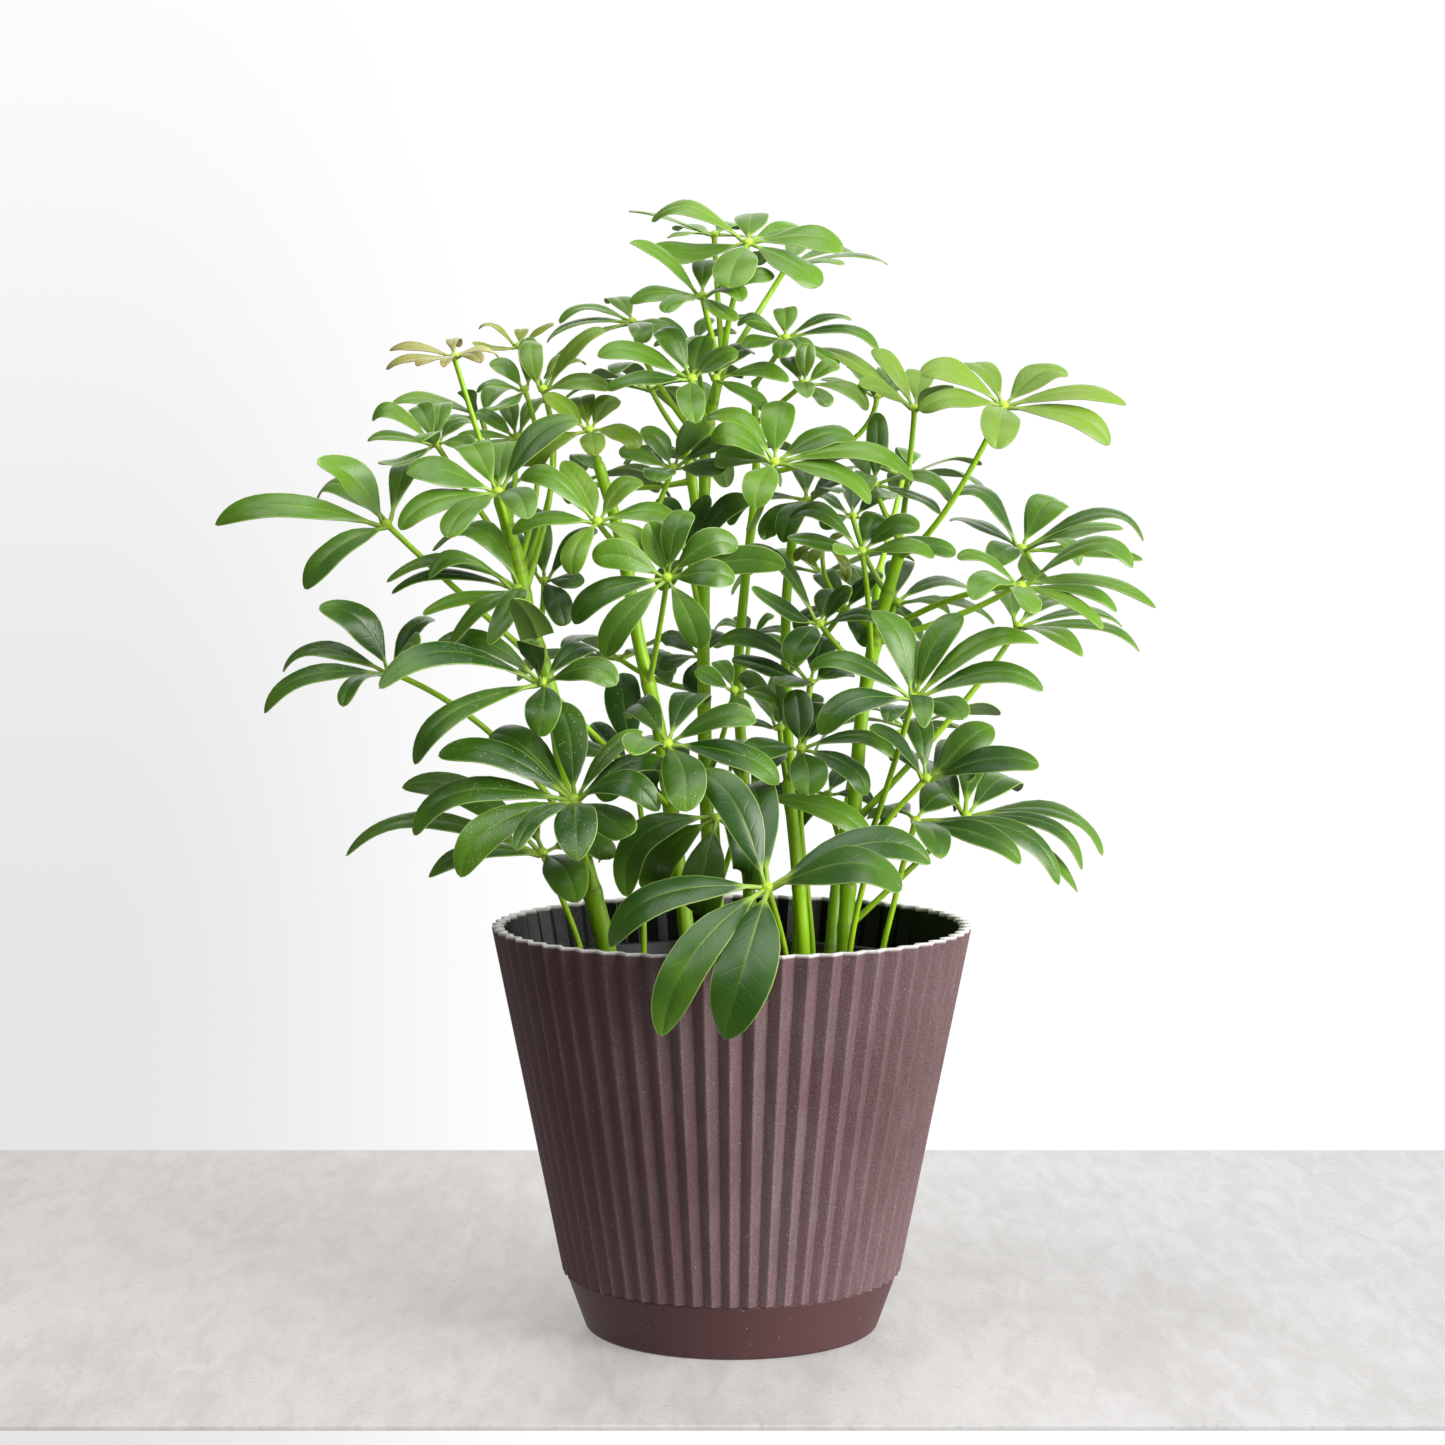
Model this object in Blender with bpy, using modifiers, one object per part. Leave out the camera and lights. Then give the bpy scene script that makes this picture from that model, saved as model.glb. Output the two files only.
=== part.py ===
"""Dwarf umbrella tree in a fluted cover pot: canes, petioles, compound leaves, soil and two pots.

Metres, +Z up. The origin is the middle of the flat underside of the cover pot.
Leaf and cane places are read on the upright plane through the pot's axis, in millimetres, as seen from
a viewpoint in front of the plant, with a depth y for each; real_place moves them along the line of sight.
"""

from math import atan2, cos, pi, sin, sqrt

import bmesh
import bpy
import numpy as np
from mathutils import Vector
from mathutils.bvhtree import BVHTree

MM = 0.001

# The viewpoint that the places below are read from
EYE = Vector((-3.4, -1218.8, 312.8))

# Cover pot
POT_HEIGHT = 152.3
RIM_RADIUS = 90.0
SLEEVE_FOOT_Z = 21.5
SLEEVE_FOOT_RADIUS = 63.7
FLUTES = 60
FLUTE_PHASE = -0.2
FLUTE_DEPTH_RIM = 2.4
FLUTE_DEPTH_FOOT = 1.8
WALL = 2.3
BAND_TOP_RADIUS = 62.7
BAND_LOW_RADIUS = 55.4
BAND_LOW_Z = 1.6
BASE_RADIUS = 53.6
FLOOR_Z = 5.0
FLOOR_RADIUS = 54.6

# Nursery pot and soil
NURSERY_FOOT_RADIUS = 50.0
NURSERY_RIM_RADIUS = 77.0
NURSERY_RIM_Z = 136.0
NURSERY_LIP = 2.4
NURSERY_LIP_HEIGHT = 9.0
NURSERY_WALL = 1.4
SOIL_TOP_Z = 123.0
STEM_FOOT_Z = 101.0
GAP = 0.3

# Leaves
BLADE_THICKNESS = 0.8
HUB_RADIUS = 2.2
STALK_RADIUS = 1.6
LEAST_TURN = 0.8
WIDE_TURN = 1.55
BLADE_SECTIONS = ((0.15, 0.32), (0.52, 1.0), (1.0, 0.32))
SMALL_BLADE_SECTIONS = ((0.52, 1.0), (1.0, 0.4))
SMALL_REACH = 37.5
DEFAULT_WIDTH = 0.29
DEFAULT_LEAN = 0.55
DEFAULT_ARCH = 0.17
LEAD_SHARE = 0.22

# Clearing of blades that would cross
CLEARANCE = 0.45
CLEARING_ROUNDS = 70
CLEARING_STEP = 1.6
MOST_BOW = 12.0
MOST_PUSH = 26.0
MOST_HUB_PUSH = 8.0
MOST_LIFT = 6.0

GREEN_DARK = ("leaf_dark", (0.045, 0.135, 0.035), 0.42)
GREEN_MID = ("leaf_mid", (0.085, 0.215, 0.05), 0.42)
GREEN_LIGHT = ("leaf_light", (0.24, 0.42, 0.09), 0.42)
GOLD_GREEN = ("leaf_gold", (0.42, 0.5, 0.08), 0.42)
BRONZE_GREEN = ("leaf_bronze", (0.42, 0.36, 0.15), 0.45)


# Canes: name, radii at foot and top, points (x, z, depth y)
CANES = {
    "stem_left": (4.1, 2.4, [(-43, 112, -8), (-47, 142, -12), (-56, 178, -17), (-62, 205, -18),
                             (-66, 232, -18), (-75, 265, -18), (-83, 300, -18), (-87, 313, -18)]),
    "stem_bright": (3.2, 2.2, [(-13, 112, 0), (-17, 150, 2), (-22, 190, 0), (-26.5, 222, -3), (-35, 260, -4),
                               (-41, 295, -4), (-50, 326, -8)]),
    "stem_centre": (3.1, 1.9, [(0, 112, 24), (-6, 150, 24), (-9, 190, 22), (-10.5, 250, 20), (-10, 300, 17),
                               (-9.5, 332, 16), (-3, 364, 14)]),
    "stem_dark": (2.9, 1.3, [(9, 112, 52), (5, 200, 52), (2.5, 250, 49), (5, 280, 46), (9, 320, 42),
                             (8.5, 354, 38)]),
    "stem_short": (3.0, 2.2, [(28, 112, -4), (27, 142, -5), (24.5, 175, -6), (21, 207, -7)]),
    "stem_slim": (2.4, 1.8, [(24, 112, 45), (25, 160, 44), (20.5, 240, 38), (20.5, 275, 33), (23, 300, 30)]),
    "stem_right": (3.2, 2.3, [(42, 112, 6), (42.5, 142, 6), (46, 195, 7), (50, 240, 9), (57, 272, 9),
                              (64, 296, 7)]),
    "stem_rear_left": (3.0, 1.9, [(-9, 112, 50), (-9, 190, 64), (-10.5, 250, 73), (-13, 305, 78),
                                  (-17, 332, 80)]),
    "stem_rear_right": (3.0, 1.9, [(36, 112, 40), (39, 160, 50), (47, 215, 70), (53, 262, 78),
                                   (55, 285, 80)]),
}

# Petioles that rise from the soil: name, points (x, z, depth y) up to the leaf's hub
SOIL_STALKS = {
    "leaf_low_left": [(-53, 112, -14), (-57, 143, -20), (-63, 160, -26), (-71, 179, -32)],
    "leaf_front": [(22, 112, -42), (20, 142, -58), (16.5, 156, -68), (13.5, 166, -76)],
    "leaf_front_left": [(-3, 112, -22), (-4, 150, -28), (-4.5, 172, -33), (-6, 192, -38)],
    "leaf_inner_left": [(-33, 112, 2), (-33, 150, 2), (-33, 185, 0), (-37, 213, -2)],
    "leaf_mid_right": [(44, 112, -8), (44.5, 142, -12), (48, 161, -15), (58, 190, -22), (73, 207, -28)],
    "leaf_low_right": [(54, 112, -4), (57, 143, -6), (61, 160, -8), (64.5, 175, -10), (69, 191, -14)],
    "leaf_shade": [(30, 112, 10), (30.5, 142, 8), (28.5, 165, 6), (26, 190, 4), (27, 222, 2),
                   (29.5, 243, 0)],
}


def compound(home, joint, hub, reach, tips, lean=DEFAULT_LEAN, via=None, colour=GREEN_MID,
             width=DEFAULT_WIDTH, arch=DEFAULT_ARCH):
    """One compound leaf: the cane or stalk it grows on, the height of its joint there, its hub
    (x, z, depth), its reach and its leaflets' tips (x, z, side), where side 1 points to the front and
    a fourth number is the leaflet's own width; the others take the leaf's width as a share of its reach."""
    return dict(home=home, joint=joint, hub=hub, reach=reach, tips=tips, lean=lean, via=via, colour=colour,
                width=width, arch=arch)


LEAVES = {
    # Left cane
    "left_top": compound("stem_left", 292, (-87, 314, -40), 44, [
        (-121, 321, 0.3), (-124, 300, 0.7), (-106, 297, 0.8), (-76, 304, 0.9, 12), (-98, 329, -0.7),
        (-57, 341, -0.2), (-83, 333, -0.9)], lean=0.75),
    "left_upper": compound("stem_left", 286, (-110, 332, -8), 31, [
        (-134, 340.5, 0), (-135.5, 333, 0.3), (-131, 325, 0.7), (-115.5, 333, 1), (-118, 345, -0.6),
        (-107, 347, -0.9), (-96, 340, -0.3), (-96, 328, 0.4)], lean=0.6, via=(-97, 312, -16)),
    "left_far": compound("stem_left", 249, (-128.5, 302, -26), 54, [
        (-193, 302, 0.1, 12), (-160, 278, 0.4, 14), (-154, 325, 0.3, 14), (-156, 308, -0.7, 12),
        (-120, 318, -0.9, 12)], lean=0.9, via=(-103, 278, -24), arch=0.23),
    "left_low": compound("stem_left", 182, (-128, 247, -26), 50, [
        (-154, 271, 0.2, 13), (-175.5, 231.5, 0.3, 11), (-168, 247, -0.4, 9), (-145.5, 234, 0.7, 11),
        (-111, 267, -0.3, 9), (-117.5, 256, 0.6, 9)], lean=0.8, via=(-88, 222, -26), colour=GREEN_DARK,
        arch=0.21),
    "left_front": compound("stem_left", 164, (-59, 199, -58), 56, [
        (-110, 215.5, 0.1, 12), (-119.5, 185.5, 0.4, 13), (-102, 169.5, 0.55, 15), (-81, 180, 0.75, 10),
        (-57.5, 176, 0.85, 15), (-38, 186, 0.45, 13), (-27, 194.5, 0.4, 11), (-23, 211, 0.2, 10),
        (-33, 225, -0.2, 8), (-65, 236, -0.3, 13), (-91, 223, -0.6)], lean=0.75, colour=GREEN_DARK,
        width=0.27, arch=0.19),
    "left_middle": compound("stem_left", 262, (-80, 278, -29), 46, [
        (-129, 281, -0.1, 8), (-127, 276.5, 0.25, 7), (-113, 282, 0.5, 9), (-115.5, 269, 0.4, 8),
        (-106, 256.5, 0.6, 10), (-91, 257, 0.8, 10), (-112, 292.5, -0.3, 14)], colour=GREEN_MID, arch=0.21),
    "left_inner": compound("stem_left", 256, (-70, 281, 2), 38, [
        (-50, 300, -0.2), (-76, 309, -0.6), (-87, 298, -0.8), (-62, 264, 0.5), (-56, 279, 0.2)], lean=0.5,
        colour=GREEN_DARK),
    "left_cluster": compound("stem_left", 300, (-80, 334.5, 4), 27, [
        (-95, 344, -0.4), (-104, 331.5, 0.2), (-94.5, 326, 0.6), (-71, 347, -0.6), (-84, 346, -0.8),
        (-66, 338, 0.2)], lean=0.6),
    "left_bunch": compound("stem_left", 292, (-93, 342, 32), 33, [
        (-126, 347, -0.1), (-99, 352, 0.2), (-107, 341, 0.4), (-84, 352, -0.8)], lean=0.5, arch=0.14),
    "left_crown": compound("stem_left", 285, (-77, 352, 10), 22, [
        (-90, 361.5, -0.2), (-95, 351, 0.2), (-91, 345, 0.6), (-76.5, 371, -0.4)], lean=0.6, width=0.38,
        via=(-72, 322, 8), arch=0.14),
    "left_arch": compound("stem_left", 276, (-70, 352, -4), 32, [
        (-47, 374.5, 0), (-45, 352.5, 0.1), (-54, 361.5, -0.7), (-73, 370, -0.7)], lean=0.6,
        via=(-67, 318, -4), arch=0.2),
    "left_red": compound("stem_left", 282, (-79, 368, 26), 19, [
        (-94, 374.5, 0), (-96, 369.5, 0.3), (-66, 376.5, -0.2), (-78, 373.5, -0.9)], lean=0.5,
        via=(-66, 330, 22), arch=0.14),
    # Bright cane
    "bright_upper": compound("stem_bright", 293, (-50, 303, -32), 36, [
        (-79, 319, 0), (-63, 325.5, -0.3), (-33, 318, -0.2), (-82, 298.5, 0.2), (-59.5, 283, 0.7),
        (-18.5, 300.5, 0), (-29, 289.5, 0.4)], lean=0.75),
    "bright_middle": compound("stem_bright", 242, (-24, 282, -44), 37, [
        (-52, 289, 0), (-59, 264.5, 0.1), (-46.5, 252, 0.2), (-12, 255, 0.2), (1.5, 281, 0.2),
        (2.5, 293, -0.1), (-15.5, 307, -0.2), (-31, 303, -0.3), (20, 286, -0.5)], lean=2.2, width=0.3,
        colour=GREEN_DARK),
    "bright_low": compound("stem_bright", 206, (-24, 220, -48), 42, [
        (-17, 194.5, 0.9, 15), (9, 228, 0.4, 11), (18, 204.5, 0.3, 12), (-36.5, 216, 1), (-38, 230, -0.9),
        (-10, 236, -0.9)], lean=0.9, colour=GREEN_DARK, width=0.3),
    "bright_right": compound("stem_bright", 284, (-22, 323, -4), 32, [
        (10, 331, 0, 11), (-2, 322.5, 0.4, 10), (-8, 339, -0.3, 11), (-34, 336.5, 0, 11),
        (-42, 328.5, 0.2, 9), (-39, 324, -0.5), (-28, 318, 0.8, 12)], lean=0.75),
    "left_shoulder": compound("stem_bright", 196, (-71, 243, -46), 66, [
        (-132, 241, 0.9, 11), (-112, 255.5, -0.1, 9), (-119, 212, 0.5, 12), (-72, 222.5, 0.35, 13),
        (-43, 242, 0.2, 12), (-49, 253, -0.3, 10), (-81, 275, 0.6, 12)], lean=0.8, via=(-47, 219, -22),
        colour=GREEN_DARK, width=0.24, arch=0.21),
    # Centre cane
    "centre_left": compound("stem_centre", 338, (-15, 356, -14), 38, [
        (-50, 364.5, 0.1, 11), (-46.5, 352, 0.35, 10), (-27.5, 374, -0.3), (2.5, 366, -0.1),
        (-13.5, 339.5, 0.8), (-10, 372, -0.9)], lean=0.8, arch=0.15),
    "centre_right": compound("stem_centre", 346, (-6, 356, 2), 32, [
        (21.5, 355, 0, 9), (14.5, 343, 0.35, 9), (-17, 371, -0.8), (8, 366, -0.8)], lean=0.7),
    "crown_left": compound("stem_centre", 360, (-11, 386.5, -4), 33, [
        (-37.5, 406.5, -0.1, 9), (-38, 384, 0.3, 10), (-25, 380.5, 0.7), (4, 384.5, 0.6), (-8, 399, -0.8),
        (16, 393.5, -0.3), (1.5, 377.5, 0.6)], lean=0.65, arch=0.15),
    "crown_back": compound("stem_centre", 338, (-14, 369, 26), 22, [
        (-28, 377.5, -0.2), (-7, 378.5, -0.6), (2, 373, -0.3), (-29, 368, 0.3), (-18, 363, 0.6)],
        arch=0.15),
    "crown_out": compound("stem_centre", 330, (-37, 377, 22), 31, [
        (-64, 376.5, 0, 9), (-69, 369.5, 0.2, 9), (-70, 356, 0.4, 8), (-33, 369, 0.8), (-25, 372, 0.3),
        (-46, 384, -0.8)], lean=0.55, via=(-29, 357, 22), arch=0.15),
    "crown_top": compound("stem_centre", 364, (6, 406, 0), 39, [
        (-30, 414, -0.2, 11), (-29, 405, 0.3, 12), (8, 416, -0.8, 13), (41.5, 403.5, -0.1, 14),
        (33, 390, 0.4, 15), (-1, 389.5, 0.75, 16), (28, 409, -0.7, 10)], lean=0.7, via=(0, 382, 8),
        arch=0.09),
    "crown_rear": compound("stem_centre", 362, (-6.5, 409, 34), 34, [
        (-38, 418, -0.2, 8), (2, 411, -0.5, 9), (-20, 411, -0.9, 9), (16, 408, -0.6, 9), (-24, 408, 0.3, 8)],
        lean=0.2, arch=0.08),
    "crown_right": compound("stem_centre", 358, (21, 398, 32), 38, [
        (58, 398.5, -0.1, 8), (42, 398.5, 0.3, 8), (11, 403, 0.4, 8), (26, 405, -0.8, 9),
        (45, 403, -0.6, 8), (10, 398, -0.9, 9)], lean=0.4, via=(9, 379, 24), arch=0.11),
    "centre_small": compound("stem_centre", 322, (27, 354, 0), 27, [
        (36, 345.5, 0.5), (50.5, 344, 0.2), (28.5, 369, -0.3), (28.5, 349, 0.9), (21, 364, -0.6),
        (40, 361, -0.7)], lean=0.6, via=(9, 339, 10)),
    "centre_drop": compound("stem_centre", 236, (-12, 253, 34), 22, [
        (-15, 236.5, 0.5), (-26, 247, 0.4), (-27, 260, -0.4), (-4, 262, -0.7)], colour=GREEN_DARK,
        width=0.45),
    "centre_long": compound("stem_centre", 160, (5, 201, -18), 56, [
        (54.5, 177.5, 0.3, 11), (0, 209, -0.8), (13, 212, -0.9), (-14, 204, -0.3)], lean=0.8,
        colour=GREEN_DARK, width=0.22, arch=0.21),
    "centre_inner": compound("stem_centre", 206, (1, 240, -14), 27, [
        (-14, 247, 0, 9), (-6, 251, -0.5), (17, 233, 0.2, 9), (4, 226, 0.5, 9)], lean=0.6,
        colour=GREEN_DARK),
    "centre_shade": compound("stem_centre", 262, (-16, 290, 2), 33, [
        (8, 311, 0, 11), (-27, 312, -0.3, 10), (-9, 313, -0.9), (4, 286, 0.3, 10), (-26, 277, 0.4)],
        lean=0.6, colour=GREEN_DARK),
    # Dark cane
    "dark_top": compound("stem_dark", 354, (20, 371, 14), 28, [
        (19, 382, -0.6, 9), (1.5, 379.5, -0.3, 8), (2, 375.5, 0.3, 7), (44.5, 378, -0.2, 7),
        (55, 366.5, 0, 8), (18, 363.5, 0.8), (29, 361, 0.5), (40, 361, 0.3), (5, 368, 0.5)], lean=0.6,
        arch=0.15),
    "dark_front": compound("stem_dark", 300, (16, 325, -24), 42, [
        (19, 348, -0.4), (9, 308, 0.7), (46, 334, -0.3), (68, 318, 0), (52, 309.5, 0.4), (-8, 334, 0.1),
        (-10, 341.5, -0.3), (-6, 328, -0.6)], lean=0.75),
    "dark_small": compound("stem_dark", 238, (7, 261, 64), 19, [
        (-7.5, 260.5, -0.4), (-7, 256.5, 0.3), (16, 268, 0), (2, 268, -0.6), (21.5, 262, -0.4),
        (20.5, 255, 0.4)], width=0.36, colour=GREEN_DARK),
    "dark_right": compound("stem_dark", 320, (54, 349.5, 38), 28, [
        (33, 356, 0), (48, 352, 0.3), (57, 359, -0.7), (44, 361, -0.6), (66, 354, -0.3)], via=(42, 331, 38),
        lean=0.5),
    # Short and slim canes
    "short_top": compound("stem_short", 206, (26, 218.5, -20), 32, [
        (24, 240.5, -0.1, 12), (29, 200.5, 0.7, 14), (51, 200.5, 0.4, 11), (62, 214.5, 0.1, 8),
        (36, 235, -0.6), (5, 214.5, 0.7, 12)], lean=0.8, colour=GREEN_DARK, width=0.38),
    "short_inner": compound("stem_short", 198, (18, 226, 16), 32, [
        (2, 245, 0, 10), (34, 238, -0.2, 9), (3, 229, 0.3, 9), (16, 246, -0.3, 9)], lean=0.6,
        colour=GREEN_DARK),
    "right_under": compound("stem_right", 172, (36, 201, 18), 28, [
        (8, 195, 0, 9), (43, 208, -0.7), (24, 188, 0.3), (54, 197, -0.2)], colour=GREEN_DARK),
    "slim_inner": compound("stem_slim", 246, (42, 270, 28), 33, [
        (56, 284, -0.3), (67, 267, 0.1, 10), (50, 256, 0.5), (24, 262, 0.3), (32, 284, -0.6)], lean=0.6,
        colour=GREEN_DARK),
    "slim_top": compound("stem_slim", 298, (28, 311, 24), 34, [
        (-1, 301.5, 0, 9), (13, 296, 0.3, 9), (40, 314, 0.7), (19, 295, 0.7), (46, 318, -0.6),
        (24, 321, -0.9)], lean=0.5, colour=GREEN_DARK),
    # Right cane
    "right_inner": compound("stem_right", 250, (48.5, 292, -14), 34, [
        (21, 304, -0.1), (21, 297, 0.3), (39.5, 291, 0.8), (55, 306, -0.5), (70, 300.5, 0.1),
        (76, 290, 0.3), (84, 291, -0.4)], lean=0.85, via=(51, 272, -4)),
    "right_shade": compound("stem_right", 276, (45, 305, 56), 33, [
        (30, 314, 0, 10), (34, 300, 0.2), (60, 312, -0.2, 11), (64, 302, 0.2), (45, 316, -0.7)], lean=0.6,
        colour=GREEN_DARK),
    "right_sprig": compound("stem_right", 262, (34, 294, 26), 17, [
        (42, 280.5, 0.4), (24, 288, 0.3), (29, 287, 0.7), (44, 298, -0.5)], via=(38, 276, 22),
        colour=GREEN_MID),
    "right_hollow": compound("stem_right", 246, (33, 265, -8), 42, [
        (-1, 289, 0, 11), (8, 278.5, 0.3, 10), (22.5, 250, 0.5, 13), (38, 278, -0.4, 11), (45, 277, 0.1, 9),
        (55, 266, 0.3, 9)], lean=0.65, colour=GREEN_DARK, width=0.36),
    "right_tip": compound("stem_right", 294, (53, 317, 14), 30, [
        (54, 343.5, -0.2), (59, 312, 0.8), (49, 312, 0.9), (82, 310, -0.2), (78, 306, 0.3), (43, 328, -0.8)],
        lean=0.6),
    "right_front": compound("stem_right", 165, (68, 237, -40), 47, [
        (53, 270, -0.2, 13), (86, 268.5, -0.2, 11), (115, 258, -0.2, 10), (117, 240, 0.3, 10),
        (86.5, 229.5, 0.6, 12), (28.5, 249, 0, 10), (33, 223, 0.4, 12), (72, 226, 0.9, 8),
        (64, 256, -0.8, 11)], lean=0.9, via=(55, 194, -16), colour=GREEN_DARK, arch=0.21),
    "right_far": compound("stem_right", 258, (108, 293, -2), 46, [
        (82, 314, 0, 13), (81, 304, -0.4, 11), (98, 286.5, 0.6, 12), (124, 309.5, -0.3, 14),
        (146, 301, -0.4, 9), (154, 296, -0.1, 9), (153.5, 289.5, 0.3, 8), (130, 286.5, 0.7, 9),
        (116, 280, 0.6, 10)], lean=0.55, via=(103, 277, 2), arch=0.19),
    "right_out": compound("stem_right", 260, (108, 279, -16), 44, [
        (90, 274, 0.7, 11), (84, 289.5, 0, 7), (113, 268.5, 0.7, 11), (150, 286, 0, 11),
        (158.5, 271.5, -0.1, 9), (144, 269.5, 0.3, 7), (139, 263, 0.5, 8)], lean=0.65, via=(82, 274, -10),
        arch=0.19),
    "right_edge": compound("stem_right", 256, (62, 273, 16), 38, [
        (90, 277.5, -0.5), (98.5, 265, 0), (82, 268.5, 0.2, 9), (72, 258, 0.1, 9), (66, 288, -0.8)],
        lean=0.45, colour=GREEN_DARK),
    "right_back": compound("stem_right", 190, (107, 264, 14), 46, [
        (153, 255, 0.1, 8), (131.5, 253, 0.5, 11), (103.5, 274, -0.8), (128, 269, -0.6, 10),
        (146, 264, -0.3, 8)], lean=0.5, via=(84, 232, 8), arch=0.19),
    "right_low": compound("stem_right", 150, (88, 193, 6), 52, [
        (140, 178, 0, 11), (132.5, 172.5, 0.3, 8), (130.5, 164.5, 0.5, 9), (106, 203, -0.7),
        (91, 206, -0.9), (82, 205, -0.8)], lean=0.6, via=(61, 167, 6), colour=GREEN_DARK, width=0.26,
        arch=0.21),
    # Leaves on their own petioles from the soil
    "low_left": compound("leaf_low_left", None, (-71, 179, -32), 60, [
        (-145, 178, 0, 11), (-114, 170, 0.4, 11), (-124, 204, -0.4, 13), (-84, 183, -0.9), (-46, 176, -0.3),
        (-58, 160, 0.5)], lean=0.7, colour=GREEN_DARK, width=0.25, arch=0.21),
    "front": compound("leaf_front", None, (13.5, 166, -76), 70, [
        (-3, 108, 0.8, 22), (-26, 109, 1, 16), (-46, 143, 0, 15), (64.5, 165, 0.3, 21),
        (-12, 210, -0.3, 15), (6, 203, -0.8, 15), (75.5, 175, -0.3, 16)], lean=0.7, colour=GREEN_DARK,
        arch=0.2),
    "front_left": compound("leaf_front_left", None, (-6, 192, -38), 44, [
        (-11, 152, 0.35, 16), (-39, 162, 0.2, 13), (4, 166, -0.1, 14), (-25, 161, -0.4, 16),
        (13, 188, -0.6, 11)], lean=0.8, colour=GREEN_DARK, arch=0.2),
    "inner_left": compound("leaf_inner_left", None, (-37, 213, -2), 38, [
        (-41, 247, -0.1, 14), (-52, 228, -0.6, 10), (-64, 217, 0.2, 10), (-30, 197, -0.45), (-48, 198, 0.5),
        (-18, 214, -0.9)], lean=0.6, colour=GREEN_DARK, width=0.38),
    "mid_right": compound("leaf_mid_right", None, (73, 207, -28), 46, [
        (98, 226.5, -0.3, 14), (115.5, 212, 0.3, 13), (52, 226, 0.1, 9), (60, 214, -0.5, 10),
        (66, 229, -0.5, 11), (90, 205, -0.9)], lean=0.8, colour=GREEN_DARK, width=0.36, arch=0.19),
    "low_right": compound("leaf_low_right", None, (69, 191, -14), 50, [
        (79, 177, 0.9, 13), (109, 175, 0.4, 13), (123.5, 166.5, 0.1, 11), (84, 196, -0.9), (56, 186, -0.6)],
        lean=0.7, colour=GREEN_DARK, arch=0.19),
    "shade": compound("leaf_shade", None, (29.5, 243, 0), 36, [
        (0, 252, 0, 10), (18, 242, 0.8), (-5, 258, -0.5, 10), (37, 259, -0.7), (44, 247, -0.5)], lean=0.7,
        colour=GREEN_DARK, width=0.36),
    # Young leaves of their own colour
    "young_bronze": compound("stem_left", 313, (-103, 364, -20), 26, [
        (-127, 366.5, -0.3), (-128.5, 359.5, 0.3), (-117, 361, 0.7), (-107, 360.5, 1), (-93, 362, 0.7),
        (-86, 363.5, -0.4), (-101, 368, -1)], lean=0.55, via=(-96, 341, -20), colour=BRONZE_GREEN,
        arch=0.14, width=0.2),
    "young_gold": compound("stem_bright", 326, (-53, 337, -14), 26, [
        (-70, 349.5, 0.1), (-56, 349, -0.8), (-42, 348.5, -0.3), (-34.5, 330, 0.2), (-51, 327.5, 0.9),
        (-73.5, 322, 0.4)], lean=0.7, colour=GOLD_GREEN, width=0.38),
    "light_right": compound("stem_right", 290, (101, 346, -18), 46, [
        (70, 358, 0.1, 12), (69.5, 344, 0.3, 11), (86, 361, -0.5, 12), (125, 358, -0.2, 13),
        (147, 346.5, -0.1, 10), (141, 331.5, 0.3, 12), (98.5, 330, 0.8, 14)], lean=0.75, via=(79, 306, -8),
        colour=GREEN_LIGHT),
    "light_crown": compound("stem_right", 287, (68, 345, 14), 37, [
        (32, 367.5, 0.1, 10), (52, 367, -0.3, 10), (47.5, 354, 0.5), (71, 358, -0.5), (80, 354, 0.7),
        (86, 352, -0.6)], lean=0.65, via=(65.5, 318, 18), colour=GREEN_LIGHT, arch=0.14),
}

# Leaves of the two rear canes are rings of even leaflets: cane, joint height, hub, reach, count, turn
REAR_LEAVES = {
    "rear_left_top": ("stem_rear_left", 332, (-30, 352, 96), 38, 6, 10),
    "rear_left_out": ("stem_rear_left", 318, (-56, 318, 98), 40, 6, 40),
    "rear_left_mid": ("stem_rear_left", 290, (-8, 324, 122), 38, 6, 20),
    "rear_left_low": ("stem_rear_left", 240, (-42, 252, 112), 42, 6, 0),
    "rear_right_top": ("stem_rear_right", 284, (64, 320, 100), 38, 6, 30),
    "rear_right_mid": ("stem_rear_right", 262, (34, 284, 122), 38, 6, 0),
    "rear_right_low": ("stem_rear_right", 225, (66, 226, 108), 40, 6, 15),
}
RING_RISE = 5.0
RING_DROOP = -9.0


def real_place(x, z, y):
    """The place at depth y that is seen at (x, z) on the upright plane through the pot's axis."""
    seen = Vector((x, 0.0, z))
    return EYE + (seen - EYE) * ((y - EYE.y) / -EYE.y)


def between(points, height):
    """The (x, z, y) reading on a cane at a height read on the upright plane."""
    for low, high in zip(points, points[1:]):
        if high[1] >= height:
            share = (height - low[1]) / (high[1] - low[1])
            return tuple(a + (b - a) * share for a, b in zip(low, high))
    return points[-1]


def curve_point(start, control, end, t):
    """A point of the quadratic curve from start to end."""
    return start * (1 - t) ** 2 + control * (2 * t * (1 - t)) + end * t * t


def cane_path(points):
    """A cane's real points, the first moved down to the foot in the soil."""
    places = [real_place(*point) for point in points]
    places[0].z = STEM_FOOT_Z
    return places


def stem_radius(radii, share):
    """The radius at a share of the length between the foot and the top."""
    return radii[0] + (radii[1] - radii[0]) * share


def ring_tips(hub, reach, count, turn):
    """Even leaflet directions round an upright hub, as offsets from it."""
    tips = []
    for index in range(count):
        angle = 2 * pi * index / count + turn * pi / 180
        droop = RING_DROOP if index % 2 else RING_RISE
        tips.append(Vector((cos(angle) * reach, sin(angle) * reach, droop)))
    return tips


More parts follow.
